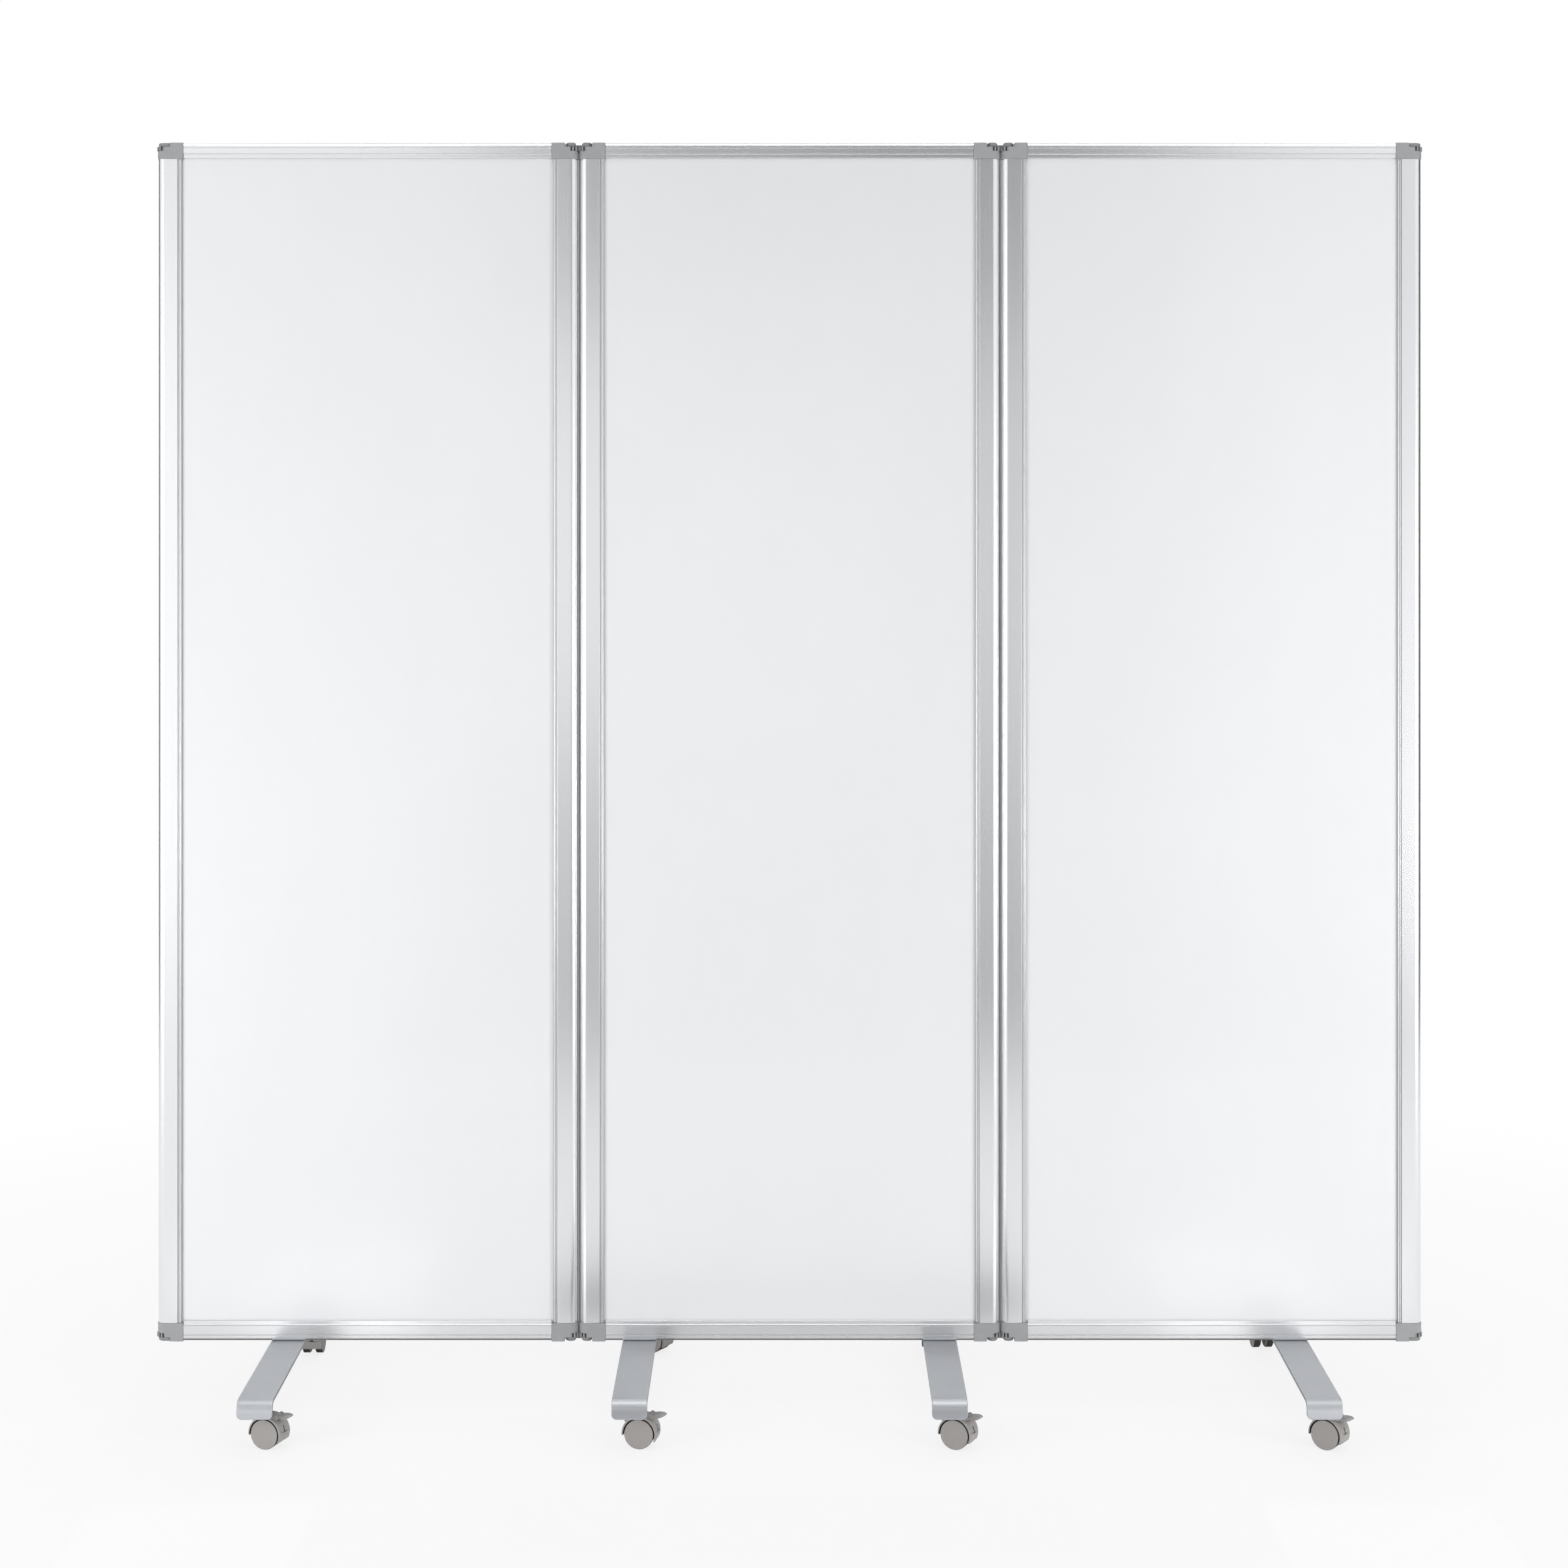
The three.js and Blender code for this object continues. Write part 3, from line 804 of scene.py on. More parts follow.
def put(node, mesh, material, body, matrix, angle=38):
    """A piece that stands for one frame node and rides on its body."""
    piece = finished(f"{node}_dressed", mesh, material, matrix, angle)
    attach(piece, body)
    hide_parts(node)


def axes(x, y, z, origin):
    """A matrix whose columns are three directions and a place."""
    matrix = Matrix((x, y, z)).transposed().to_4x4()
    matrix.translation = Vector(origin)
    return matrix


# The writing boards


def board_shell(settings):
    """A core between two sheets, whose faces stand proud of the margins in the frame."""
    half = FRAME_HALF - STILE_WIDTH + BOARD_TUCK
    low = PANEL_LOW + FRAME_INSET + BOTTOM_RAIL_WIDTH - BOARD_TUCK
    high = PANEL_HIGH - FRAME_INSET - TOP_RAIL_WIDTH + BOARD_TUCK
    face = BOARD_DEPTH / 2
    corner = 3 * MM

    def plate(inset, top, near, far):
        outline = rounded_box(-half + inset, half - inset, low + inset, high - top, corner)
        return moved(prism(outline, near, far), UPRIGHT)

    fold = settings.sheet
    margin = face - BOARD_STEP
    inset = BOARD_TUCK + FACE_INSET
    top = high - (PANEL_HIGH - TOP_CAP_HEIGHT - SEAT_GAP - FACE_INSET)
    return together(
        plate(0, 0, -margin, -margin + fold),
        plate(2 * fold, 2 * fold, -margin + fold / 2, margin - fold / 2),
        plate(0, 0, margin - fold, margin),
        plate(inset, top, -face, -margin + fold / 2),
        plate(inset, top, margin - fold / 2, face),
    )


class MakeBoards(bpy.types.Operator):
    """Make the three enamelled writing boards"""

    bl_idname = "privacy_screen.boards"
    bl_label = "Make boards"

    def execute(self, context):
        settings = context.scene.screen_boards
        material = enamel(settings)
        mesh = mesh_of("board", board_shell(settings))
        for name, x in PANELS.items():
            put(f"{name}_board", mesh, material, f"{name}_panel", at(x))
        return {"FINISHED"}


# The aluminium sections, drawn with X from the outer edge to the board and Z along the section


def section(settings, width, grooves, edge, lined):
    """A section's outline, with a groove in its face at each place and two in a lined lip."""
    face = FRAME_DEPTH / 2
    slot = BOARD_DEPTH / 2 - BOARD_STEP + SEAT_GAP
    slot_end = width - BOARD_TUCK - SEAT_GAP
    fine = 0.18 * MM
    deep = face - settings.groove_depth
    upper = [(0.0, face, edge)]
    for place in grooves:
        far = place + settings.groove_width
        upper += [(place, face, fine), (place, deep, fine), (far, deep, fine), (far, face, fine)]
    lip = width - settings.lip_width
    step = face - settings.lip_step
    sunk = step - 1 * MM
    upper.append((lip, face, 0.7 * MM))
    if lined:
        soft = 0.4 * MM
        first, second, third = lip + 0.9 * MM, lip + 2.5 * MM, lip + 3.2 * MM
        upper += [(lip, sunk, fine), (first, sunk, fine), (first, step, soft)]
        upper += [(second, step, soft), (second, sunk, fine), (third, sunk, fine)]
        upper.append((third, step, 0.5 * MM))
    else:
        upper.append((lip, step, 0.5 * MM))
    upper.append((width, step, 0.8 * MM))
    upper += [(width, slot, 0.3 * MM), (slot_end, slot, 0.0)]
    lower = [(x, -y, radius) for x, y, radius in reversed(upper)]
    return filleted(upper + lower)


def chamber(width, wall, slack=0.0):
    """The hollow of a section, or with slack a spigot that fits in it."""
    web = 3.4 * MM
    end = width - BOARD_TUCK - web
    half = 5.5 * MM - slack
    return rounded_box(wall + slack, end - slack, -half, half, 0.8 * MM)


class MakeFrames(bpy.types.Operator):
    """Make the stiles and rails round the boards"""

    bl_idname = "privacy_screen.frames"
    bl_label = "Make frames"

    def execute(self, context):
        settings = context.scene.screen_frames
        low = PANEL_LOW + BOTTOM_CAP_HEIGHT + SEAT_GAP
        high = PANEL_HIGH - TOP_CAP_HEIGHT - SEAT_GAP
        rail_half = PANEL_HALF - CAP_LENGTH - SEAT_GAP
        round_edge = FRAME_DEPTH / 2
        stile_skin = anodised("satin_anodised_stile", settings, round_edge, settings.groove_shade)
        rail_skin = anodised("satin_anodised_rail", settings, RAIL_EDGE, settings.groove_shade * RAIL_SHADE)

        def rail(name, width, grooves):
            outline = section(settings, width, grooves, RAIL_EDGE, False)
            hollow = chamber(width, RAIL_WALL)
            return mesh_of(name, prism(outline, -rail_half, rail_half, [hollow]))

        outline = section(settings, STILE_WIDTH, [], round_edge, True)
        hollow = chamber(STILE_WIDTH, STILE_WALL)
        stile = mesh_of("stile", prism(outline, low, high, [hollow]))
        top = rail("top_rail", TOP_RAIL_WIDTH, [6 * MM, 14 * MM])
        bottom = rail("bottom_rail", BOTTOM_RAIL_WIDTH, [7.5 * MM, 21 * MM])
        rail_high = PANEL_HIGH - FRAME_INSET
        rail_low = PANEL_LOW + FRAME_INSET
        for name, x in PANELS.items():
            body = f"{name}_panel"
            for side, sign in SIDES.items():
                inwards = -sign
                edge = (x + sign * FRAME_HALF, 0, 0)
                turn = axes((inwards, 0, 0), (0, inwards, 0), (0, 0, 1), edge)
                put(f"{name}_{side}_stile", stile, stile_skin, body, turn)
            over = axes((0, 0, -1), (0, 1, 0), (1, 0, 0), (x, 0, rail_high))
            put(f"{name}_top_rail", top, rail_skin, body, over)
            under = axes((0, 0, 1), (0, -1, 0), (1, 0, 0), (x, 0, rail_low))
            put(f"{name}_bottom_rail", bottom, rail_skin, body, under)
        rubber = sealing(settings)
        reach = LEDGE_DEPTH + SEAT_GAP
        lap = 0.2 * MM
        start = FRAME_HALF - lap
        for name, sign in SIDES.items():
            near, far = sign * start, sign * (start + settings.seal_width)
            outline = rounded_box(near, far, -2 * MM, 2 * MM, 0.9 * MM)
            near, far = sign * (PANEL_HALF - lap), sign * (PANEL_HALF + 0.8 * MM)
            tip = rectangle(near, far, -1.5 * MM, 1.5 * MM)
            strip = together(
                prism(outline, low, high),
                prism(tip, high - 1 * MM, PANEL_HIGH - reach),
                prism(tip, PANEL_LOW + reach, low + 1 * MM),
            )
            trim = f"{name}_seal"
            piece = finished(trim, mesh_of(trim, strip), rubber, Matrix.Identity(4))
            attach(piece, "middle_panel")
        return {"FINISHED"}


# The corner caps, drawn for a top left corner with the outer end at X 0 and the outer face at Z 0


def knuckle_outline(teeth):
    """The toothed half of a knuckle. Its teeth stand a quarter pitch off, so neighbours mesh."""
    pitch = 2 * pi / teeth
    radius = PIVOT_SPACING / 2
    half = CAP_DEPTH / 2
    tip, root = 0.8 * MM, -1.7 * MM
    tip_half, root_half, phase = 0.15, 0.26, 0.25
    flanks = ((-root_half, root), (-tip_half, tip), (tip_half, tip), (root_half, root))
    corners = []
    count = ceil(teeth / 4)
    for tooth in range(-count, count):
        for share, rise in flanks:
            turn = pi + (tooth + phase + share) * pitch
            x = PIVOT_INSET + (radius + rise) * cos(turn)
            y = (radius + rise) * sin(turn)
            if x < PIVOT_INSET:
                corners.append((x, max(-half, min(half, y)), 0.35 * MM if rise > 0 else 0.5 * MM))
    inside = PIVOT_INSET + 1 * MM
    corners += [(inside, 0.3 * MM - half, 0.0), (inside, half - 0.3 * MM, 0.0)]
    return filleted(corners)


def cap_mesh(settings, height, rail_width):
    """A cap with its notch, board slot, pin bore, toothed knuckle and two spigots."""
    half = CAP_DEPTH / 2
    past = 3 * MM
    end = arc(PIVOT_INSET, 0, half, pi / 2, 3 * pi / 2, 28)
    body = prism([*end, (CAP_LENGTH, -half), (CAP_LENGTH, half)], -height, 0)
    ledge = -LEDGE_DEPTH
    gap = [(-past, ledge), (PIVOT_INSET, ledge), (PIVOT_INSET, -NOTCH_DEPTH)]
    gap += [(NOTCH_LENGTH, -NOTCH_DEPTH), (NOTCH_LENGTH, past), (-past, past)]
    notch = moved(prism(gap, -half - past, half + past), UPRIGHT)
    board_x = PANEL_HALF - (FRAME_HALF - STILE_WIDTH + BOARD_TUCK) - SEAT_GAP
    board_z = -(FRAME_INSET + rail_width - BOARD_TUCK) + SEAT_GAP
    slit = BOARD_DEPTH / 2 - BOARD_STEP + SEAT_GAP
    slot = prism(rectangle(board_x, CAP_LENGTH + past, -slit, slit), -height - past, board_z)
    bore_depth = 20.9 * MM
    bore = prism(circle(PIVOT_INSET, BORE_RADIUS, 24), -bore_depth, past)
    mesh = worked("cap", body, cuts=[notch, slot, bore], rounding=settings.rounding)
    hole = arc(PIVOT_INSET, 0, BORE_RADIUS, 2 * pi, 0, 24)[1:]
    sunk = 0.05 * MM
    knuckle = prism(knuckle_outline(settings.teeth), ledge - sunk, -NOTCH_DEPTH - sunk, [hole])
    knuckle = worked("knuckle", knuckle, rounding=0.3 * MM, steps=2, angle=70)
    spigot = 24 * MM
    root = 1 * MM
    stile_hollow = chamber(STILE_WIDTH, STILE_WALL, SEAT_GAP)
    down = moved(prism(stile_hollow, -height - spigot, -height + root), at(FRAME_INSET))
    rail_hollow = chamber(rail_width, RAIL_WALL, SEAT_GAP)
    beside = axes((0, 0, -1), (0, 1, 0), (1, 0, 0), (0, 0, -FRAME_INSET))
    along = moved(prism(rail_hollow, CAP_LENGTH - root, CAP_LENGTH + spigot), beside)
    return added(merged(mesh, knuckle), together(down, along))


def plug_mesh():
    """A plug that closes a free end's notch."""
    radius = 9.8 * MM
    end = arc(PIVOT_INSET, 0, radius, pi / 2, 3 * pi / 2, 24)
    far = NOTCH_LENGTH - 0.2 * MM
    shell = prism([*end, (far, -radius), (far, radius)], 0.05 * MM - NOTCH_DEPTH, -SEAT_GAP)
    return worked("plug", shell, rounding=1.6 * MM)


class MakeCaps(bpy.types.Operator):
    """Make the corner caps with their toothed knuckles"""

    bl_idname = "privacy_screen.caps"
    bl_label = "Make corner caps"

    def execute(self, context):
        settings = context.scene.screen_caps
        # The caps get painted shade between the knuckle's teeth and under the notch
        material = moulded("grey_moulded_cap", settings.colour, 0.5, shade_mask=teeth_shade)
        dark = moulded("grey_plug", settings.link_colour, 0.42)
        filler = plug_mesh()
        ends = {
            "top": (cap_mesh(settings, TOP_CAP_HEIGHT, TOP_RAIL_WIDTH), PANEL_HIGH, 0),
            "bottom": (cap_mesh(settings, BOTTOM_CAP_HEIGHT, BOTTOM_RAIL_WIDTH), PANEL_LOW, pi),
        }
        for name, x in PANELS.items():
            for end, (mesh, z, over) in ends.items():
                for side, sign in SIDES.items():
                    turn = Matrix.Rotation(pi if sign > 0 else 0, 4, "Z")
                    tip = Matrix.Rotation(over, 4, "X")
                    matrix = at(x + sign * PANEL_HALF, 0, z) @ turn @ tip
                    put(f"{name}_{end}_{side}_cap", mesh, material, f"{name}_panel", matrix)
                    if name == side:
                        plug = finished(f"{name}_{end}_plug", filler, dark, matrix)
                        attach(plug, f"{name}_panel")
        return {"FINISHED"}


# The hinge links, drawn with the middle at X 0 and the outer face at Z 0


def link_mesh():
    """A waisted strap with a domed button over each end, and a pin below each button."""
    pivot = PIVOT_SPACING / 2
    radius = 7.5 * MM
    strap_half = 4.5 * MM
    waist = asin(strap_half / radius)
    turn = pi - waist
    right = arc(pivot, 0, radius, -turn, turn, 28)
    left = arc(-pivot, 0, radius, waist, waist + 2 * turn, 28)
    under, over = -5 * MM, -2.6 * MM
    mesh = worked("link", prism([*right, *left], under, over), rounding=0.5 * MM)
    dome = [(4.2 + 3.2 * x, 2.6 * y - 1.4) for x, y in arc(0, 0, 1, 0, pi / 2, 6)[1:]]
    button = lathe(in_mm((0, -3), (7.2, -3), (7.4, -2.2), (7.4, -1.4), *dome, (0, 1.2)), 40)
    pin = lathe(in_mm((0, -20), (2.4, -20), (3, -19.2), (3, -1), (0, -1)), 24)
    for x in (-pivot, pivot):
        mesh = added(mesh, together(moved(button, at(x)), moved(pin, at(x))))
    return mesh


class MakeLinks(bpy.types.Operator):
    """Make the hinge links that join the panels"""

    bl_idname = "privacy_screen.links"
    bl_label = "Make hinge links"

    def execute(self, context):
        settings = context.scene.screen_caps
        material = moulded("grey_hinge_link", settings.link_colour, 0.4)
        mesh = link_mesh()
        ends = {"top": (PANEL_HIGH - SEAT_GAP, 0), "bottom": (PANEL_LOW + SEAT_GAP, pi)}
        for name, x in JOINTS.items():
            for end, (z, over) in ends.items():
                link = f"{name}_joint_{end}_link"
                place = at(x, 0, z) @ Matrix.Rotation(over, 4, "X")
                put(link, mesh, material, f"{name}_links", place)
        return {"FINISHED"}


# The feet


def rounded_loop(half_width, half_depth, radius):
    """A rounded rectangle as offsets from a path, the same count for every size."""
    radius = min(radius, half_width * 0.95, half_depth * 0.95)
    loop = []
    for sx, sy, start in ((1, 1, 0), (-1, 1, 1), (-1, -1, 2), (1, -1, 3)):
        centre = (sx * (half_width - radius), sy * (half_depth - radius))
        loop += arc(*centre, radius, start * pi / 2, (start + 1) * pi / 2, 4)
    return loop


def foot_path(settings):
    """The bar's middle line out to one lip: (y, z, angle, half width, half thickness)."""
    thick = 2.5 * MM
    wide = 24 * MM
    flat = 24 * MM
    ease = 12 * MM
    station = 140 * MM
    middle = PANEL_LOW + FRAME_INSET - SEAT_GAP - thick
    fall, run = 7 * MM, 210 * MM
    slope = atan2(fall, run)
    kink = flat + ease / 2
    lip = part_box("left_foot")[1].y - thick
    bend = settings.bend
    centre_y = lip - bend
    start_y = lip - bend * (1 - sin(slope))
    start_z = middle - (start_y - kink) * tan(slope)
    centre_z = start_z - bend * cos(slope)
    path = [(0.0, middle, 0.0, wide, thick)]
    for share in shares(4):
        drop = ease * tan(slope) * share * share / 2
        path.append((flat + ease * share, middle - drop, -slope * share, wide, thick))
    path.append((station, middle - (station - kink) * tan(slope), -slope, wide, thick))
    for share in shares(14):
        angle = -slope - (pi / 2 - slope) * share
        y = centre_y - bend * sin(angle)
        path.append((y, centre_z + bend * cos(angle), angle, wide, thick))
    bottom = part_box("left_foot")[0].z
    corner = settings.corner
    down = -pi / 2
    for share in shares(9):
        turn = pi / 2 * share
        z = bottom + corner * (1 - sin(turn))
        width = wide - corner * (1 - cos(turn))
        edge = max(0.0, settings.edge - (z - bottom))
        inset = settings.edge - sqrt(max(0.0, settings.edge**2 - edge**2))
        path.append((lip, z, down, width - inset, thick - inset * 0.8))
    return path


def foot_shell(settings):
    """The bent bar, with a socket for each caster's stem."""
    half = foot_path(settings)
    other = [(-y, z, -angle, width, thick) for y, z, angle, width, thick in reversed(half[1:])]
    loops = []
    for y, z, angle, width, thick in other + half:
        loop = rounded_loop(width, thick, settings.edge)
        loops.append([(u, y - v * sin(angle), z + v * cos(angle)) for u, v in loop])
    bar = lofted(loops)
    sleeve = in_mm((5.4, 57.5), (5.6, 55.9), (6.2, 55.5), (8.3, 55.5), (9, 56.3), (9, 66))
    flange = in_mm((9.5, 67.3), (10.8, 68.6), (10.8, 70.5), (5.4, 70.5), (5.4, 57.5))
    socket = lathe(sleeve + flange, 40)
    sockets = [moved(socket, at(0, end * STEM_REACH)) for end in (-1, 1)]
    return together(bar, *sockets)


def bolt_shell():
    """A hexagonal head with its corners turned off below, a washer and a shank."""
    sides = 48
    sector = pi / 3
    corner = 7.0
    loops = []
    for height, limit in ((-5, 5.6), (-4.75, 6.15), (-4.2, corner), (-1.1, corner), (-1, corner)):
        loop = []
        for i in range(sides):
            turn = 2 * pi * i / sides
            flat = corner * cos(sector / 2) / cos(turn % sector - sector / 2)
            radius = min(flat, limit) * MM
            loop.append((radius * cos(turn), radius * sin(turn), height * MM))
        loops.append(loop)
    washer = lathe(in_mm((0, -1.1), (6.6, -1.1), (6.9, -0.8), (6.9, -0.2), (6.7, 0), (0, 0)), 40)
    shank = lathe(in_mm((0, -1), (4, -1), (4, 15.4), (3.4, 16), (0, 16)), 24)
    under_bar = at(0, 0, PANEL_LOW + FRAME_INSET - 5.6 * MM)
    return moved(together(lofted(loops), washer, shank), under_bar)


class MakeFeet(bpy.types.Operator):
    """Make the flat bar feet and the bolts that hold them"""

    bl_idname = "privacy_screen.feet"
    bl_label = "Make feet"

    def execute(self, context):
        settings = context.scene.screen_feet
        paint = silver_paint(settings)
        plating = zinc(settings)
        foot = mesh_of("foot", foot_shell(settings))
        bolt = mesh_of("bolt", bolt_shell())
        for name, (panel, _, _) in FEET.items():
            place = at(size_of(name)[0].x)
            put(name, foot, paint, panel, place)
            put(f"{name}_bolt", bolt, plating, panel, place, angle=30)
        return {"FINISHED"}


# The casters, drawn with the swivel axis at X 0 and Y 0 and the wheels towards +X

LYING = at(TRAIL, 0, WHEEL_RADIUS) @ UPRIGHT
# The turns round the axle at which a hood's opening starts and ends
HOOD_OPENING = (-0.4, 3.2)
# The pedal's axis, by its distance from the axle and its turn round it
PEDAL_REACH = 26.6 * MM
PEDAL_TURN = 1.0
PEDAL_X = TRAIL + PEDAL_REACH * cos(PEDAL_TURN)
PEDAL_Z = WHEEL_RADIUS + PEDAL_REACH * sin(PEDAL_TURN)
PEDAL_HALF = 7 * MM
BARREL_RADIUS = 2.8 * MM
CHEEK_RADIUS = 3.8 * MM


def caster_place(foot, end):
    """Over the floor below a caster's stem, turned to its heading."""
    y = -STEM_REACH if end == "front" else STEM_REACH
    _, front, rear = FEET[foot]
    heading = radians(front if end == "front" else rear)
    return at(size_of(foot)[0].x, y) @ Matrix.Rotation(heading, 4, "Z")


def lying_rod(x, z, radius, low, high, sides):
    """A rod round an axis that lies along Y."""
    return moved(prism(circle(0, radius, sides), -high, -low), at(x, 0, z) @ UPRIGHT)


def hood_mesh(settings, braked):
    """A drum that is open below, with a pocket for each wheel, a slit, a collar and a stem."""
    radius = HOOD_RADIUS
    half = HOOD_HALF
    rim = settings.rim
    lower_rim = arc(radius - rim, rim - half, rim, -pi / 2, 0, 5)
    upper_rim = arc(radius - rim, half - rim, rim, 0, pi / 2, 5)
    profile = [(0, -half), *lower_rim, *upper_rim, (0, half)]
    drum = moved(lathe(profile, 72), LYING)
    hub = 7 * MM
    lift = hub / 2
    past = 2 * radius
    back, front = (Vector((cos(turn), sin(turn))) * radius * 1.5 for turn in HOOD_OPENING)
    below = [(-hub, -hub), (front.x + lift, front.y + lift), (-past, -past)]
    below += [(past, -past), (back.x - lift, back.y + lift), (hub, -hub)]
    opening = moved(prism(below, -2 * half, 2 * half), LYING)
    slit_half, slit_low, slit_high = 1.5 * MM, 22.5 * MM, 31 * MM
    slit_place = (TRAIL + 17 * MM, 0, 0)
    slit = prism(rectangle(-slit_half, slit_half, slit_low, slit_high), 0, 8 * MM)
    slit = moved(slit, axes((0, 1, 0), (0, 0, 1), (1, 0, 0), slit_place))
    cuts = [opening, slit]
    web = 3 * MM
    outside = half + 4 * MM
    for low, high in ((-outside, -web), (web, outside)):
        cuts.append(lying_rod(TRAIL, WHEEL_RADIUS, POCKET_RADIUS, low, high, 72))
    collar = in_mm((0, 33), (9, 33), (9, 50.8), (8.2, 51.7), (7.4, 52), (0, 52))
    joins = [lathe(collar, 48)]
    if braked:
        inside = PEDAL_HALF + SEAT_GAP
        cheek = inside + 2 * MM
        joins.append(lying_rod(PEDAL_X, PEDAL_Z, CHEEK_RADIUS, -cheek, cheek, 28))
        room = 4.1 * MM
        cuts.append(lying_rod(PEDAL_X, PEDAL_Z, room, -inside, inside, 28))
    mesh = worked("hood", drum, cuts=cuts, joins=joins, rounding=0.45 * MM, steps=2)
    thick, bevel = 5 * MM, 0.6 * MM
    low, top = 50 * MM, PANEL_LOW + FRAME_INSET - 11.6 * MM
    stem = [(0, low), (thick, low), (thick, top - bevel), (thick - bevel, top), (0, top)]
    return added(mesh, lathe(stem, 28))


def wheel_shell():
    """Two wheels and their axle, round Z, which is turned to lie along the axle."""
    outer = 15 * MM
    radius = WHEEL_RADIUS
    soft = 0.9 * MM
    shoulder = outer - 0.3 * MM
    half = in_mm((3.5, 3.6), (17, 3.6), (18.6, 3.9), (20, 5.2))
    half += arc(radius - soft, shoulder - soft, soft, 0, 1.45, 5)
    half += in_mm((17.2, 14.8), (14, 14.9), (8, 14.98), (0, 15))
    other = [(r, -y) for r, y in reversed(half)]
    return lathe(other + half, 72)


def pedal_mesh():
    """A leaf that widens from its barrel and ends in a blunt point."""
    loops = []
    length = 21 * MM
    root = 2.2
    straight = 0.45
    for share in shares(14):
        # The top swells past the middle, and the underside sinks a little and then sweeps up
        top = (root + 1.5 * sin(pi * share * 0.8) + 0.3 * share) * MM
        low = (-root - 0.9 * sin(pi * share) + 4.2 * share**2.2) * MM
        width = PEDAL_HALF * sqrt(max(0.0, 1 - max(0.0, (share - straight) / 0.56) ** 2.4))
        loop = rounded_loop(max(width, 0.8 * MM), max(0.35 * MM, (top - low) / 2), 1.1 * MM)
        loops.append([(length * share, u, (top + low) / 2 + v) for u, v in loop])
    leaf = moved(lofted(loops), at(PEDAL_X, 0, PEDAL_Z))
    barrel = lying_rod(PEDAL_X, PEDAL_Z, BARREL_RADIUS, -PEDAL_HALF, PEDAL_HALF, 28)
    return worked("pedal", together(leaf, barrel))


class MakeCasters(bpy.types.Operator):
    """Make the casters' hoods and wheels"""

    bl_idname = "privacy_screen.casters"
    bl_label = "Make casters"

    def execute(self, context):
        settings = context.scene.screen_casters
        colour = settings.hood_colour
        # The hoods get painted shade inside their pockets, at the tone share that the settings
        # give
        nylon = moulded("warm_grey_nylon", colour, 0.46, shade_mask=pocket_shade, depth=settings.pocket_shade_tone)
        tyre = wheel_nylon(settings)
        hoods = {"front": hood_mesh(settings, True), "rear": hood_mesh(settings, False)}
        wheels = mesh_of("wheels", wheel_shell())
        for foot in FEET:
            for end, mesh in hoods.items():
                name = f"{foot}_{end}_caster"
                place = caster_place(foot, end)
                put(f"{name}_housing", mesh, nylon, f"{name}_swivelling", place)
                put(f"{name}_wheels", wheels, tyre, f"{name}_rolling", place @ LYING)
        return {"FINISHED"}


class MakePedals(bpy.types.Operator):
    """Make the brake pedals of the front casters"""

    bl_idname = "privacy_screen.pedals"
    bl_label = "Make brake pedals"

    def execute(self, context):
        settings = context.scene.screen_casters
        nylon = moulded("pedal_nylon", settings.hood_colour, 0.42)
        mesh = pedal_mesh()
        for foot in FEET:
            name = f"{foot}_front_caster"
            place = caster_place(foot, "front")
            put(f"{name}_pedal", mesh, nylon, f"{name}_braking", place)
        return {"FINISHED"}


# The stage, with its lowest cards just over the floor

CARD_TOP = 3.2
CARD_LOW = 1 * MM


def seen_white(net):
    """1 for rays that see the surroundings, straight, by gloss or through glass."""
    rays = ("Is Camera Ray", "Is Glossy Ray", "Is Transmission Ray")
    camera, glossy, through = (net.node("ShaderNodeLightPath", out=ray) for ray in rays)
    settings = {"operation": "ADD", "use_clamp": True}
    return net.node("ShaderNodeMath", settings, {0: camera + glossy, 1: through})


def floor_material(settings):
    net = material_net("pale_floor")
    plain = net.principled(Base_Color=rgba(settings.floor_colour), Roughness=0.85)
    white = net.glow((1, 1, 1, 1))
    own = net.node("ShaderNodeTexCoord", out="Object")
    reach = net.node("ShaderNodeVectorMath", {"operation": "LENGTH"}, {0: own}, out="Value")
    near = net.over(reach, 4.0, (0.8, 1.0), (2.4, 0.0))
    share = seen_white(net) * (1 - near * settings.shadow)
    return net.ended(net.node("ShaderNodeMixShader", None, {0: share, 1: plain, 2: white}))


def lamp(name, place, aim, width, height, power, gloss=True):
    """A rectangular lamp of so many watts, which the camera doesn't see."""
    light = bpy.data.lights.new(name, "AREA")
    light.shape = "RECTANGLE"
    light.size = width
    light.size_y = height
    light.energy = power
    thing = linked(name, light)
    thing.location = place
    thing.rotation_euler = (Vector(aim) - Vector(place)).to_track_quat("-Z", "Y").to_euler()
    thing.visible_camera = False
    thing.visible_glossy = gloss


def upright_card(left, right, low, high):
    """Corners of a card that stands across the studio, behind the camera."""
    y = -4.6
    return [(left, y, low), (right, y, low), (right, y, high), (left, y, high)]


def lying_card(left, right, near, far, high):
    """Corners of a card that lies over the floor."""
    return [(left, near, high), (right, near, high), (right, far, high), (left, far, high)]


def stage_piece(name, corners, material):
    """A flat piece of the stage."""
    thing = linked(name, mesh_of(name, (corners, [(0, 1, 2, 3)])))
    thing.data.materials.append(material)
    return thing


def side_card(x, near):
    """Corners of a card that stands beside the studio and runs back from near."""
    far = 4
    return [(x, near, 0), (x, far, 0), (x, far, CARD_TOP), (x, near, CARD_TOP)]


def flag(name, corners, tone):
    """A grey card of the studio that shows only in gloss."""
    net = material_net(name)
    card = stage_piece(name, corners, net.ended(net.glow((tone, tone, tone, 1))))
    for ray in ("camera", "diffuse", "shadow", "transmission", "volume_scatter"):
        setattr(card, f"visible_{ray}", False)


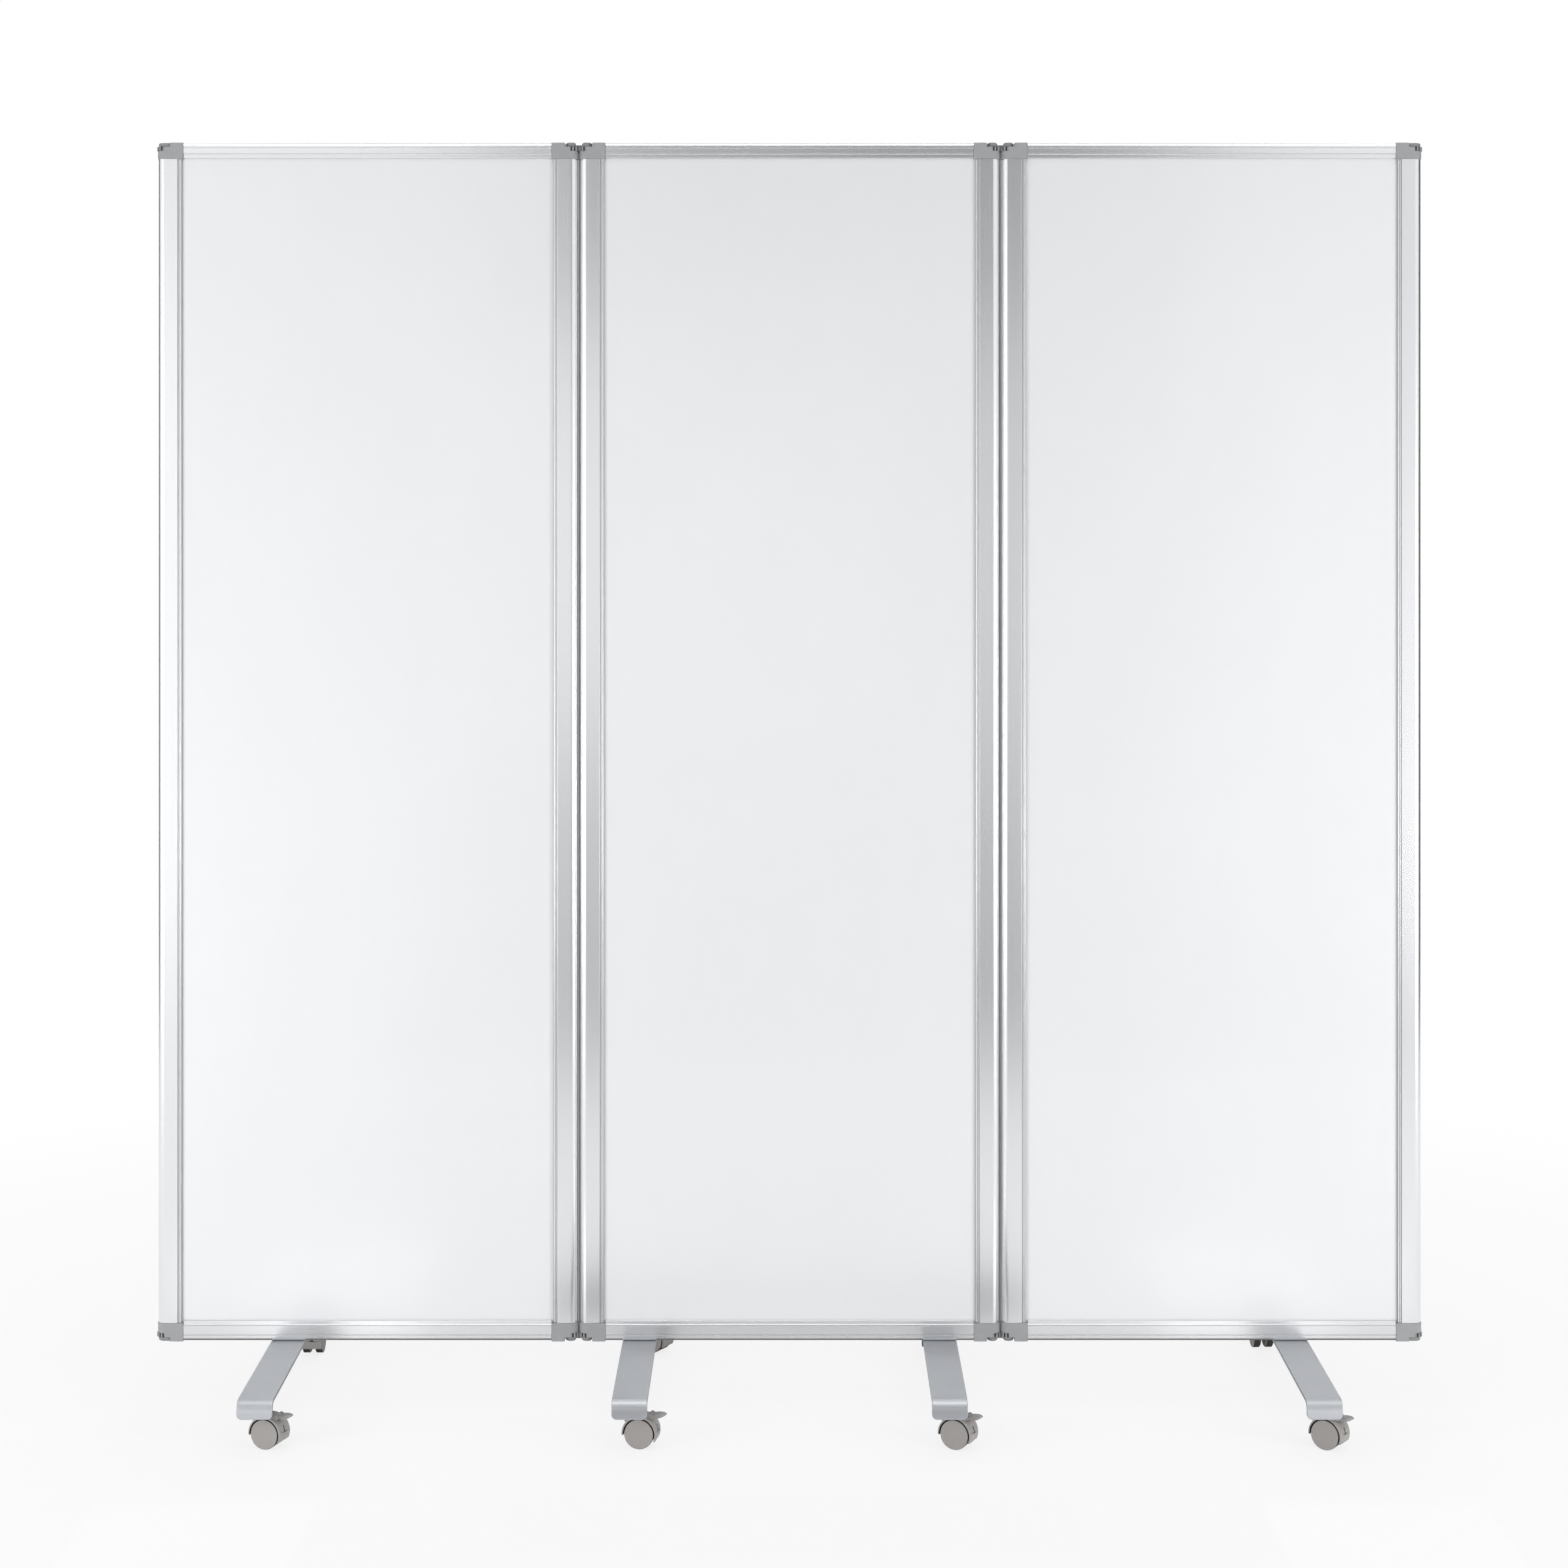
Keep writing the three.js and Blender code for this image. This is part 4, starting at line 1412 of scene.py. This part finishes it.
class MakeStage(bpy.types.Operator):
    """Make the floor, the lamps and the camera"""

    bl_idname = "privacy_screen.stage"
    bl_label = "Make stage"

    def execute(self, context):
        scene = context.scene
        settings = scene.screen_stage
        reach = 30.0
        corners = lying_card(-reach, reach, -reach, reach, 0)
        floor = stage_piece("floor", corners, floor_material(settings))

        world = bpy.data.worlds.new("studio")
        scene.world = world
        net = Net(world)
        seen = seen_white(net)
        strength = seen * (1 - settings.sky) + settings.sky
        sockets = {"Color": (1, 1, 1, 1), "Strength": strength}
        back = net.node("ShaderNodeBackground", None, sockets)
        net.node("ShaderNodeOutputWorld", None, {"Surface": back})

        # Each lamp's place, aim, width, height and watts
        lamp("left_softbox", (-3.3, -3.2, 1.1), (-0.6, 0, 0.9), 1.8, 2.0, 20)
        lamp("right_softbox", (3.4, -3.0, 0.7), (0.6, 0, 0.6), 1.6, 1.2, 17)
        lamp("left_fill", (-2.3, -1.6, 0.8), (-0.6, 0, 0.8), 0.8, 1.4, 14.5, False)
        lamp("right_fill", (2.3, -1.6, 0.8), (0.6, 0, 0.8), 0.8, 1.4, 14.5, False)
        lamp("low_left_softbox", (-2.5, -2.0, 0.4), (-0.7, 0, 0.2), 1.0, 0.5, 5)
        lamp("low_right_softbox", (2.5, -2.0, 0.4), (0.7, 0, 0.2), 1.0, 0.5, 5)
        lamp("back_softbox", (0.6, 3.6, 2.4), (0, 0, 0.9), 3.0, 1.6, 30)
        flag("high_flag", upright_card(-0.9, 1.25, 1.95, 3.6), 0.08)
        flag("middle_flag", upright_card(0.25, 1.2, 0.0, 1.95), 0.4)
        flag("low_flag", upright_card(-1.0, 0.25, 0.0, 0.6), 0.4)
        flag("floor_flag", lying_card(-1.0, 1.6, -4.6, -2.3, 0.02), 0.3)
        # Painted shadow: a dark card under the screen, seen only in gloss, standing in for the
        # floor's shade there
        flag("painted_under_shadow", lying_card(-0.95, 0.95, -0.18, 0.3, CARD_LOW), 0.15)
        flag("feet_flag", lying_card(-0.36, 0.36, -0.62, -0.4, CARD_LOW), 0.05)
        flag("left_glow", lying_card(-0.88, -0.6, -0.85, -0.44, CARD_LOW), 2.3)
        flag("right_glow", lying_card(0.6, 0.88, -0.85, -0.44, CARD_LOW), 2.3)
        flag("over_glow", lying_card(-1.3, 1.3, -1.7, -0.5, CARD_TOP), 3.5)
        flag("top_flag", lying_card(-1.1, 1.1, 0.2, 3.4, CARD_TOP), 0.2)
        flag("right_flag", side_card(3.5, -0.4), 0.03)
        flag("left_flag", side_card(-3.5, 0.3), 0.1)

        lens = bpy.data.cameras.new("camera")
        lens.lens = settings.lens
        lens.sensor_width = 36
        lens.shift_x = settings.shift_x
        lens.shift_y = settings.shift_y
        camera = linked("camera", lens)
        camera.location = (0, -settings.camera_distance, settings.camera_height)
        camera.rotation_euler = (pi / 2, 0, 0)
        scene.camera = camera
        scene.view_settings.view_transform = "Standard"
        return {"FINISHED"}


OPERATORS = [
    MakeBoards,
    MakeFrames,
    MakeCaps,
    MakeLinks,
    MakeFeet,
    MakeCasters,
    MakePedals,
    MakeStage,
]


class ScreenPanel(bpy.types.Panel):
    """Lists the steps that build the screen, and their settings"""

    bl_idname = "VIEW3D_PT_privacy_screen"
    bl_label = "Privacy Screen"
    bl_space_type = "VIEW_3D"
    bl_region_type = "UI"
    bl_category = "Privacy Screen"

    def draw(self, context):
        for maker in OPERATORS:
            self.layout.operator(maker.bl_idname)
        for name, group in SETTINGS.items():
            box = self.layout.box()
            box.label(text=group.__doc__)
            for prop in group.__annotations__:
                box.prop(getattr(context.scene, name), prop)


def register():
    for group in SETTINGS.values():
        bpy.utils.register_class(group)
    for name, group in SETTINGS.items():
        setattr(bpy.types.Scene, name, bpy.props.PointerProperty(type=group))
    for maker in [*OPERATORS, ScreenPanel]:
        bpy.utils.register_class(maker)


def unregister():
    for maker in reversed([*OPERATORS, ScreenPanel]):
        bpy.utils.unregister_class(maker)
    for name in SETTINGS:
        delattr(bpy.types.Scene, name)
    for group in SETTINGS.values():
        bpy.utils.unregister_class(group)


def main():
    register()
    bpy.ops.privacy_screen.boards()
    bpy.ops.privacy_screen.frames()
    bpy.ops.privacy_screen.caps()
    bpy.ops.privacy_screen.links()
    bpy.ops.privacy_screen.feet()
    bpy.ops.privacy_screen.casters()
    bpy.ops.privacy_screen.pedals()
    bpy.ops.privacy_screen.stage()


if __name__ == "__main__":
    main()
